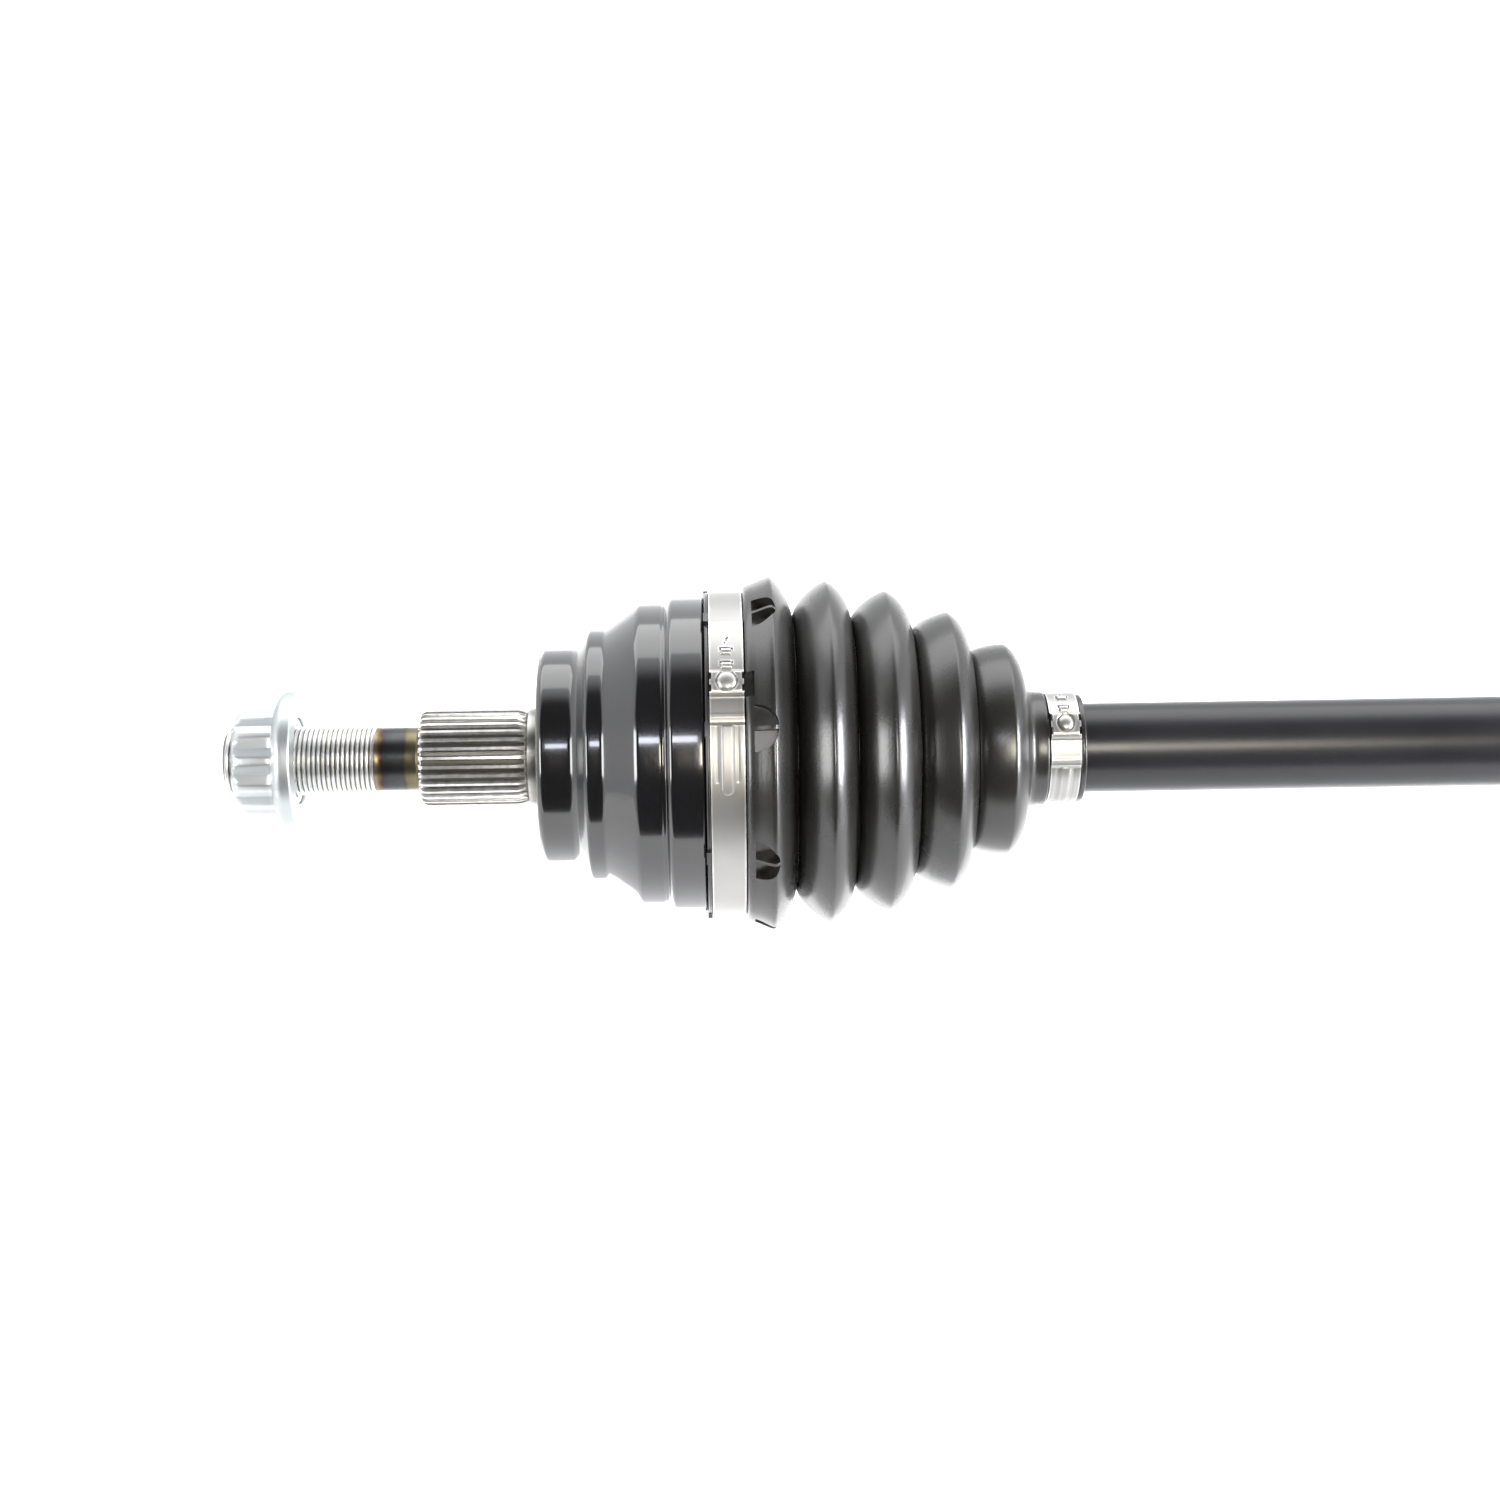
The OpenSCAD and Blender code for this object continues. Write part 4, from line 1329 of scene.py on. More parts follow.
def spline_tooth(name: str, x0: float, x1: float, root: float, tip: float, count: int,
                 lead: float, run_out: float) -> bpy.types.Object:
    """One tooth on top of the axle, round at its lead and fading at its run-out.

    Args:
        name: Name of the piece.
        x0: Outboard end in mm.
        x1: Inboard end in mm.
        root: Radius of the tooth's foot in mm.
        tip: Radius of the tooth's tip in mm.
        count: Teeth around the axle.
        lead: Length of the rounding at x0 in mm.
        run_out: Length of the slope at x1 in mm.

    Returns:
        The tooth.
    """
    pitch = TURN / count
    stations = [(x0 + lead * (1 - math.cos(t)), math.sin(t)) for t in (0.15, 0.45, 0.8, 1.15, math.pi / 2)]
    stations += [(x1 - run_out, 1.0), (x1 - run_out / 2, 0.72), (x1, 0.15)]
    verts, faces = [], []
    for x, share in stations:
        height = (tip - root) * share
        section = [
            (0.31, -0.35), (0.29, 0.05 * height), (0.21, 0.72 * height), (0.13, height),
            (-0.13, height), (-0.21, 0.72 * height), (-0.29, 0.05 * height), (-0.31, -0.35),
        ]
        for side, up in section:
            verts.append(around(x * MM, (root + up) * MM, side * pitch))
    m = 8
    for i in range(len(stations) - 1):
        for j in range(m):
            k = (j + 1) % m
            faces.append([i * m + j, i * m + k, (i + 1) * m + k, (i + 1) * m + j])
    faces.append(list(range(m)))
    faces.append(list(range((len(stations) - 1) * m, len(stations) * m)))
    return new_object(name, verts, faces, smooth=False)


@dataclass(frozen=True)
class Trees:
    """The geometry trees."""

    copies: bpy.types.NodeTree
    thread: bpy.types.NodeTree

    def ring(self, name: str, piece: bpy.types.Object, count: int, finish: Finish,
             start: float = 0.0) -> bpy.types.Object:
        """Sets copies of a piece around the axle and removes the piece.

        Args:
            name: Name of the result.
            piece: What is copied.
            count: How many copies.
            finish: Their finish.
            start: Turn of the first copy in radians.

        Returns:
            The copies as one plain piece.
        """
        values = {"Piece": piece, "Count": count, "Start": start, "Finish": finish.material()}
        out = grown(name, self.copies, values)
        bpy.data.objects.remove(piece)
        return out


# ---------------------------------------------------------------- wheel end


@dataclass(frozen=True)
class HubHousing:
    """The outer joint's body with its hub stub.

    Attributes:
        pitch: Pitch of the hub thread in mm.
        teeth: Teeth of the hub spline.
        balls: Ball grooves.
        ball_circle: Radius of the circle of the balls' centres in mm.
        groove: Radius of a ball groove in mm.
        bore: Radius of the spherical bore in mm.
        joint_x: Joint's centre along the axle in mm.
        thread_length: Length of the threaded end in mm.
    """

    pitch: float = 1.5
    teeth: int = 32
    balls: int = 6
    ball_circle: float = 31.5
    groove: float = 11.3
    bore: float = 37.6
    joint_x: float = 48.0
    thread_length: float = 48.5

    def bell_outline(self) -> Outline:
        """Outside of the bell from the land to the mouth, in mm.

        Returns:
            The outline.
        """
        points = [
            (-3.8, 15.2), (-0.9, 15.2), (-0.35, 14.9), (0.0, 15.3), (0.0, 24.0), (0.0, 32.6),
            (1.6, 34.2), (10.6, 34.2), (12.4, 35.4), (14.6, 38.6), (15.7, 40.2), (20.3, 40.2),
            (21.4, 40.9), (30.4, 47.6), (31.4, 48.1), (38.2, 48.1),
            (38.8, 47.8), (39.6, 47.9), (40.6, 49.4), (41.4, 49.9), (50.6, 49.9), (51.2, 49.4),
            (51.4, 48.0), (65.0, 48.0), (66.0, 47.0), (66.0, 44.0),
        ]
        return filleted(points, 0.8, 4)

    def groove_radius(self, x: float, offset: float) -> float:
        """How far out the ball groove reaches at a place and an angle from its middle.

        Args:
            x: Place along the axle in mm.
            offset: Angle from the groove's middle in radians.

        Returns:
            The radius in mm, or 0 outside the groove.
        """
        dx = x - self.joint_x

        def inside(rho: float) -> bool:
            """Whether the point lies in the groove's ring."""
            d = math.hypot(dx, rho * math.cos(offset)) - self.ball_circle
            return d * d + (rho * math.sin(offset)) ** 2 < self.groove**2

        if abs(offset) > 0.6:
            return 0.0
        rho = 44.0
        while rho > 26.0 and not inside(rho):
            rho -= 0.4
        if rho <= 26.0:
            return 0.0
        low, high = rho, rho + 0.4
        for _ in range(9):
            middle = (low + high) / 2
            low, high = (middle, high) if inside(middle) else (low, middle)
        return low

    def cavity(self, x: float, bore: float) -> Callable[[float], float]:
        """Radius of the cavity with its grooves as a function of the angle.

        Args:
            x: Place along the axle in mm.
            bore: Radius of the bore there in mm.

        Returns:
            The function.
        """
        pitch = TURN / self.balls

        def radius(angle: float) -> float:
            """The larger of bore and groove."""
            offset = (angle + pitch / 2) % pitch - pitch / 2
            return max(bore, self.groove_radius(x, offset))

        return radius

    def build(self, trees: Trees, finishes: Finishes) -> list[bpy.types.Object]:
        """Builds the shell, thread, spline teeth and their finishes.

        Args:
            trees: The geometry trees.
            finishes: The finishes.

        Returns:
            The pieces.
        """
        low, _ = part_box("outer_joint_housing")
        end = low.x / MM
        thread_end = end + self.thread_length
        stub = filleted(
            [
                (end + 4.0, 0.0), (end + 4.0, 0.2), (end, 3.0), (end, 8.8), (end + 1.3, 10.1),
                (thread_end - 0.8, 10.1), (thread_end + 0.4, 9.9), (thread_end + 12.2, 9.9),
                (thread_end + 13.0, 12.0), (thread_end + 13.6, 13.7), (-4.6, 13.75), (-3.9, 15.0),
                (-3.8, 15.2),
            ],
            0.4,
            3,
        )
        stub[0] = (end + 4.0, 0.0)
        outside = resampled([*stub, *self.bell_outline()[1:]], 2.4)
        rings: list[tuple[float, Radius]] = list(outside)
        inside_x = [66.0 - 0.75 * i for i in range(1, 66)]
        for x in inside_x:
            if x < 16.0:
                break
            dx = x - self.joint_x
            sphere = math.sqrt(max(0.0, self.bore**2 - dx * dx))
            bore = sphere if dx < 9 else 36.5 + (39.8 - 36.5) * (dx - 9) / 9
            rings.append((x, self.cavity(x, bore)))
        rings.append((16.0, 19.0))
        rings.append((16.0, 0.0))
        shell = ringed("hub_shell", rings, 240)
        dress(shell, finishes.enamel)
        shell.data.materials.append(finishes.steel.material())
        shell.data.materials.append(finishes.bearing.material())
        for face in shell.data.polygons:
            x, r = face.center.x / MM, math.hypot(face.center.y, face.center.z) / MM
            if x < 0.6 and r < 33.5:
                face.material_index = 1
            elif x > 15.9 and r < 46.4 and face.normal.dot(Vector((0, face.center.y, face.center.z))) < 0:
                face.material_index = 2
        ridge = grown(
            "hub_thread",
            trees.thread,
            {
                "Radius": 10.42 * MM,
                "Pitch": self.pitch * MM,
                "Turns": 30.6,
                "Height": 0.98 * MM,
                "Foot": 1.32 * MM,
                "Crest": 0.24 * MM,
                "Start": (end + 1.2) * MM,
                "Finish": finishes.steel.material(),
            },
        )
        tooth = spline_tooth("hub_tooth", thread_end + 13.0, -4.2, 13.75, 15.0, self.teeth, 2.4, 3.0)
        teeth = trees.ring("hub_teeth", tooth, self.teeth, finishes.steel)
        soften(ridge, 25.0)
        soften(teeth, 25.0)
        return [shell, ridge, teeth]

    def dress(self, trees: Trees, finishes: Finishes) -> bpy.types.Object:
        """Joins the pieces, lets them ride and replaces the CAD node.

        Args:
            trees: The geometry trees.
            finishes: The finishes.

        Returns:
            The housing.
        """
        housing = joined("outer_joint_housing_looks", self.build(trees, finishes))
        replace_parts(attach(housing, "hub_end"), "outer_joint_housing")
        return housing


@dataclass(frozen=True)
class HubNut:
    """The twelve-pointed hub nut and its captive washer.

    Attributes:
        points: Distance across the points in mm.
        bore: Radius of the threaded bore in mm.
    """

    points: float = 34.2
    bore: float = 11.05

    def twelve(self, limit: float, shrink: float = 1.0) -> Callable[[float], float]:
        """Radius of the pointed outline, cut off at a limit.

        Args:
            limit: Largest radius in mm.
            shrink: Share of the full width across the flats.

        Returns:
            The radius as a function of the angle.
        """
        flat = self.points / 2 * math.cos(math.radians(30)) * 1.015 * shrink

        def radius(angle: float) -> float:
            """The larger of two hexagons.

            Args:
                angle: Angle about the axle in radians.

            Returns:
                The radius in mm.
            """
            out = 0.0
            for shift in (0.0, math.pi / 6):
                side = (angle + shift) % (math.pi / 3) - math.pi / 6
                out = max(out, flat / math.cos(side))
            return min(out, limit)

        return radius

    def build(self, finishes: Finishes) -> tuple[bpy.types.Object, bpy.types.Object]:
        """Builds the nut and its washer.

        Args:
            finishes: The finishes.

        Returns:
            The nut and the washer.
        """
        nut_low, nut_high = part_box("axle_nut")
        low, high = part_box("nut_washer")
        x0, x1 = nut_low.x / MM, nut_high.x / MM
        w0, w1 = low.x / MM, high.x / MM
        tip = self.points / 2
        rings: list[tuple[float, Radius]] = [
            (x0 + 0.9, self.bore), (x0, self.bore + 0.8), (x0, tip - 3.4), (x0, tip - 2.6),
            (x0 + 0.25, self.twelve(tip - 2.0, 0.985)), (x0 + 0.7, self.twelve(tip - 1.35, 0.99)),
            (x0 + 1.5, self.twelve(tip - 0.7, 0.995)), (x0 + 2.6, self.twelve(tip - 0.35)),
            (w0 - 1.8, self.twelve(tip - 0.3)), (w0 - 0.8, self.twelve(tip - 0.3)),
            (w0 - 0.25, self.twelve(tip - 0.45, 0.99)), (w0 - 0.2, self.twelve(tip - 0.8, 0.98)),
            (w0 - 0.2, 13.4), (w0 - 0.2, 12.65), (x1 - 2.2, 12.6), (x1 - 1.1, 12.6),
            (x1 - 1.05, 13.2), (x1, 13.2), (x1, self.bore + 0.7), (x1 - 0.9, self.bore),
        ]
        nut = ringed("axle_nut_looks", rings, 240)
        soften(nut, 24.0)
        outline = [
            (w0, 13.0), (w0, 18.0), (w0 + 0.4, 19.4), (w0 + 1.3, 20.8), (w0 + 2.4, 21.7),
            (w0 + 3.4, 22.0), (w1 - 0.5, 22.0), (w1 - 0.1, 21.7), (w1, 21.3), (w1, 13.6),
            (w1 - 2.35, 13.6), (w1 - 2.4, 13.0),
        ]
        ring = turned("nut_washer_looks", [(x * MM, r * MM) for x, r in filleted(outline, 0.9, 4)], 192)
        for piece in (nut, ring):
            dress(piece, finishes.zinc)
        return nut, ring

    def dress(self, finishes: Finishes) -> list[bpy.types.Object]:
        """Lets the nut and washer ride and replaces their CAD nodes.

        Args:
            finishes: The finishes.

        Returns:
            The nut and the washer.
        """
        nut, ring = self.build(finishes)
        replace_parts(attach(nut, "nut"), "axle_nut")
        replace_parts(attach(ring, "washer"), "nut_washer")
        return [nut, ring]


@dataclass(frozen=True)
class OuterBoot:
    """The ribbed boot of the outer joint.

    Attributes:
        wall: Thickness of the boot in mm.
        pockets: Half-round pockets in its shoulder.
        pocket_r: Radius of a pocket in mm.
        first: Place of the first pocket's rib, in degrees above the front.
        bend: Stretch along the axle in mm over which the boot passes from housing to bar; not used.
    """

    wall: float = 2.0
    pockets: int = 8
    pocket_r: float = 7.2
    first: float = 8.0
    bend: Point = (62.0, 128.0)

    def profile(self) -> Outline:
        """Outside of the folds, from the shoulder to the small end, in mm.

        Returns:
            The outline.
        """
        valleys = [(79.0, 41.8), (97.3, 40.4), (116.2, 37.1), (134.2, 30.0)]
        crests = [(89.4, 53.8), (107.9, 50.4), (127.4, 43.5), (144.2, 33.1)]
        points: Outline = [(63.4, 50.1), (63.7, 52.2), (64.6, 52.8), (66.6, 53.4), (69.6, 54.7)]
        points += [(71.2, 55.35), *reversed(bulge(valleys[0], (72.2, 55.4), 0.55))]
        for valley, crest, after in zip(valleys, crests, valleys[1:]):
            points += bulge(valley, crest, 0.62)[1:]
            points += reversed(bulge(after, crest, 0.78)[:-1])
        points += bulge(valleys[3], crests[3], 0.85)[1:]
        points += reversed(bulge((151.0, 20.4), (145.2, 33.1), 0.8))
        points += [(151.8, 18.8), (153.0, 18.1), (154.8, 17.9)]
        return points

    def build(self, trees: Trees, finishes: Finishes) -> bpy.types.Object:
        """Builds the boot with its pockets.

        Args:
            trees: The geometry trees.
            finishes: The finishes.

        Returns:
            The boot.
        """
        lip = [(51.5, 48.2), (51.5, 50.3), (51.9, 50.7), (52.5, 50.7), (52.8, 50.4), (52.9, 50.05)]
        small = [
            (157.0, 17.9), (157.6, 17.2), (157.8, 16.1), (167.2, 16.1), (167.4, 16.8),
            (168.0, 17.0), (168.8, 16.9), (169.1, 16.4), (169.1, 14.1),
        ]
        folds = self.profile()
        outside = filleted([*lip, *folds, *small], 1.1, 3)
        within = smoothed(inset(smoothed(resampled(folds, 0.9), 6), self.wall), 4)
        within = [(min(x, 154.6), r) for x, r in within if x > 74.5]
        inside = [(155.0, 14.1), *reversed(within), (73.4, 48.6), (66.2, 48.3), (63.0, 48.05)]
        outline = [*resampled(outside, 1.0), *inside]
        boot = turned("outer_boot_shell", [(x * MM, r * MM) for x, r in outline], 224)
        cutter = self.pocket()
        start = math.radians(90.0 - self.first)
        cutters = trees.ring("boot_pockets", cutter, self.pockets, finishes.rubber, start)
        boolean_cut(boot, cutters)
        boolean_cut(boot, self.block("ear_room", (62.9, 66.2), (50.6, 58.0), 23.0, 4.4))
        soften(boot, 38.0)
        nub = self.block("lip_nub", (51.3, 52.75), (48.6, 51.9), 90.0, 2.3)
        nubs = trees.ring("lip_nubs", nub, self.pockets, finishes.rubber, start)
        return joined("outer_boot_looks", [dress(boot, finishes.rubber), nubs])

    @staticmethod
    def block(name: str, xs: Point, rs: Point, above: float, half: float) -> bpy.types.Object:
        """A block bent around the axle.

        Args:
            name: Name of the block.
            xs: Its ends along the axle in mm.
            rs: Its inner and outer radius in mm.
            above: Its middle in degrees above the front.
            half: Half its length in mm.

        Returns:
            The block.
        """
        verts, faces, n = [], [], 5
        for i in range(n):
            turn = math.radians(90.0 - above) + half / rs[1] * (2 * i / (n - 1) - 1)
            corners = ((xs[0], rs[0]), (xs[1], rs[0]), (xs[1], rs[1]), (xs[0], rs[1]))
            verts += [around(x * MM, r * MM, turn) for x, r in corners]
        for i in range(n - 1):
            for j in range(4):
                k = (j + 1) % 4
                faces.append([4 * i + j, 4 * i + k, 4 * i + 4 + k, 4 * i + 4 + j])
        faces += [[0, 1, 2, 3], [4 * n - 4, 4 * n - 3, 4 * n - 2, 4 * n - 1]]
        return new_object(name, verts, faces, smooth=False)

    def pocket(self) -> bpy.types.Object:
        """The half disc pressed into the shoulder on top of the axle, parted by a rib.

        Returns:
            The cutter for one pocket.
        """
        floor, top, x0, rib = 51.2, 58.0, 65.9, 0.55
        verts, faces = [], []
        for side in (-1, 1):
            first = len(verts)
            shape = [(x0, rib)]
            for i in range(13):
                t = math.pi / 2 * i / 12
                shape.append((x0 + self.pocket_r * math.cos(t), rib + (self.pocket_r - rib) * math.sin(t)))
            n = len(shape)
            for r in (floor, top):
                for x, y in shape:
                    verts.append(around(x * MM, r * MM, side * y / 54.0))
            for i in range(n):
                k = (i + 1) % n
                faces.append([first + v for v in (i, k, n + k, n + i)])
            for i in range(1, n - 1):
                faces.append([first, first + i, first + i + 1])
                faces.append([first + n, first + n + i, first + n + i + 1])
        return new_object("boot_pocket", verts, faces, smooth=False)

    def dress(self, trees: Trees, finishes: Finishes) -> bpy.types.Object:
        """Bakes the boot's placement into its mesh and replaces its CAD node.

        Args:
            trees: The geometry trees.
            finishes: The finishes.

        Returns:
            The boot.
        """
        boot = self.build(trees, finishes)
        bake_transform(boot)
        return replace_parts(boot, "outer_boot")


# ---------------------------------------------------------------- bar and gearbox end


@dataclass(frozen=True)
class Bar:
    """The bar with its splined ends.

    Attributes:
        teeth: Teeth of each spline.
        spline_r: Outer radius of the splines in mm.
    """

    teeth: int = 26
    spline_r: float = 13.0

    def build(self, trees: Trees, finishes: Finishes) -> list[bpy.types.Object]:
        """Builds the bar and its teeth.

        Args:
            trees: The geometry trees.
            finishes: The finishes.

        Returns:
            The pieces.
        """
        low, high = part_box("axle_shaft")
        x0, x1 = low.x / MM, high.x / MM
        root = self.spline_r - 1.1
        points = [
            (x0 + 4, 0.0), (x0, 3.0), (x0, root - 0.6), (x0 + 0.6, root), (62.9, root),
            (63.6, 12.5), (123.0, 12.5), (131.0, 14.0), (361.75, 14.0), (369.75, 12.5),
            (455.4, 12.5), (456.0, root), (x1 - 0.6, root), (x1, root - 0.6), (x1, 3.0), (x1 - 4, 0.0),
        ]
        outline = filleted(points, 3.0, 6)
        core = turned("bar_core", [(x * MM, r * MM) for x, r in resampled(outline, 6.0)], 128)
        pieces = [dress(core, finishes.bar)]
        for name, a, b in (("bar_teeth_out", x0 + 1, 63.0), ("bar_teeth_in", 456.0, x1 - 1)):
            tooth = spline_tooth("bar_tooth", a, b, root, self.spline_r, self.teeth, 1.0, 1.2)
            pieces.append(trees.ring(name, tooth, self.teeth, finishes.bearing))
        return pieces

    def dress(self, trees: Trees, finishes: Finishes) -> bpy.types.Object:
        """Joins the bar's pieces, lets them ride and replaces the CAD node.

        Args:
            trees: The geometry trees.
            finishes: The finishes.

        Returns:
            The bar.
        """
        bar = joined("axle_shaft_looks", self.build(trees, finishes))
        soften(bar, 30.0)
        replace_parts(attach(bar, "axle_bar"), "axle_shaft")
        return bar


@dataclass(frozen=True)
class GearboxHousing:
    """The inner joint's body with its gearbox stub.

    Attributes:
        teeth: Teeth of the gearbox spline.
        half: Half the width of a roller track in mm.
        top: Height of a roller track in mm.
        bore: Radius of the round bore in mm.
    """

    teeth: int = 28
    half: float = 17.35
    top: float = 34.0
    bore: float = 27.5

    def hollow(self, radius: float, depth: float) -> Callable[[float], float]:
        """Radius of the outside with three hollows of a depth in mm.

        Args:
            radius: Radius of the round in mm.
            depth: Depth of a hollow in mm.

        Returns:
            The function of the angle.
        """
        def shape(angle: float) -> float:
            """The smaller of the round and the hollows.

            Args:
                angle: Angle about the axle in radians.

            Returns:
                The radius in mm.
            """
            out = radius
            for i in range(3):
                offset = (angle - math.radians(60 + 120 * i) + math.pi) % TURN - math.pi
                c = 42.5 + 16 - depth
                under = 16.0**2 - (c * math.sin(offset)) ** 2
                if under > 0 and abs(offset) < 1.0:
                    out = min(out, c * math.cos(offset) - math.sqrt(under))
            return out

        return shape

    def track(self, bore: float) -> Callable[[float], float]:
        """Radius of the bore with its three tracks.

        Args:
            bore: Radius of the bore in mm.

        Returns:
            The function of the angle.
        """
        def shape(angle: float) -> float:
            """The larger of the bore and the tracks.

            Args:
                angle: Angle about the axle in radians.

            Returns:
                The radius in mm.
            """
            out = bore
            for i in range(3):
                offset = (angle - math.radians(120 * i) + math.pi) % TURN - math.pi
                if abs(offset) < math.pi / 2:
                    side = self.half / max(abs(math.sin(offset)), 1e-6)
                    out = max(out, min(self.top / math.cos(offset), side))
            return out

        return shape

    def build(self, trees: Trees, finishes: Finishes) -> list[bpy.types.Object]:
        """Builds the housing, journal and spline.

        Args:
            trees: The geometry trees.
            finishes: The finishes.

        Returns:
            The pieces.
        """
        low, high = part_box("inner_joint_housing")
        mouth, end = low.x / MM, high.x / MM
        back = mouth + 86.5
        rings: list[tuple[float, Radius]] = [(mouth, 41.9), (mouth + 0.6, 42.4), (mouth + 1.2, 42.5)]
        rings += [(mouth + 3.0 * i, 42.5) for i in range(1, 6)]
        for i in range(9):
            x = mouth + 16.4 + 0.9 * i
            rings.append((x, self.hollow(42.5, 6.5 * step(i / 8, 0.5, 0.9))))
        for i in range(1, 15):
            rings.append((mouth + 23.6 + (back - 5 - mouth - 23.6) * i / 14, self.hollow(42.5, 6.5)))
        for t in (0.2, 0.45, 0.7, 0.9, 1.0):
            drop = 5.0 * (1 - math.sqrt(max(0.0, 1 - t * t)))
            rings.append((back - 5 + 5 * t, self.hollow(42.5 - drop, 6.5)))
        foot = back + 6.0
        rings += [(back + 0.3, 34.0), (back + 1.6, 27.0), (foot - 2.4, 23.4), (foot - 0.4, 23.0)]
        rings += [(foot, 22.6), (foot, 20.1), (foot + 0.2, 20.0), (foot + 9, 20.0), (foot + 16.5, 20.0)]
        rings += [(foot + 17.2, 19.6), (foot + 18.0, 18.5), (foot + 18.0, 13.2), (foot + 18.3, 12.7)]
        spline_x = foot + 20.5
        ring_x = end - 9.0
        rings += [(ring_x - 0.1, 12.7), (ring_x - 0.05, 12.6), (ring_x + 2.0, 12.6), (ring_x + 2.1, 12.7)]
        rings += [(end - 3.0, 12.6), (end - 0.4, 10.4), (end, 10.0), (end, 3.0), (end - 4.0, 0.0)]
        inside: list[tuple[float, Radius]] = [(mouth, 41.5), (mouth, self.track(30.0))]
        bottom = mouth + 78.5
        for i in range(1, 20):
            x = mouth + (bottom - mouth) * i / 19
            inside.append((x, self.track(max(self.bore, 30.0 - 0.5 * (x - mouth)))))
        inside += [(bottom, 18.0), (bottom, 0.0)]
        shell = ringed("gearbox_shell", [*reversed(inside), *rings], 288)
        soften(shell, 30.0)
        dress(shell, finishes.enamel)
        shell.data.materials.append(finishes.bearing.material())
        for face in shell.data.polygons:
            x, r = face.center.x / MM, math.hypot(face.center.y, face.center.z) / MM
            inner = face.normal.dot(Vector((0, face.center.y, face.center.z))) < 0 and x < bottom + 0.5
            if x > foot - 0.3 or (inner and r < 41.4 and x > mouth + 0.1):
                face.material_index = 1
        tooth = spline_tooth("box_tooth", end - 3.0, spline_x, 12.7, 14.0, self.teeth, 2.0, 2.5)
        tooth.data.flip_normals()
        teeth = trees.ring("box_teeth", tooth, self.teeth, finishes.bearing)
        soften(teeth, 25.0)
        return [shell, teeth]

    def dress(self, trees: Trees, finishes: Finishes) -> bpy.types.Object:
        """Joins the pieces, lets them ride and replaces the CAD node.

        Args:
            trees: The geometry trees.
            finishes: The finishes.

        Returns:
            The housing.
        """
        housing = joined("inner_joint_housing_looks", self.build(trees, finishes))
        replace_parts(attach(housing, "gearbox_end"), "inner_joint_housing")
        return housing


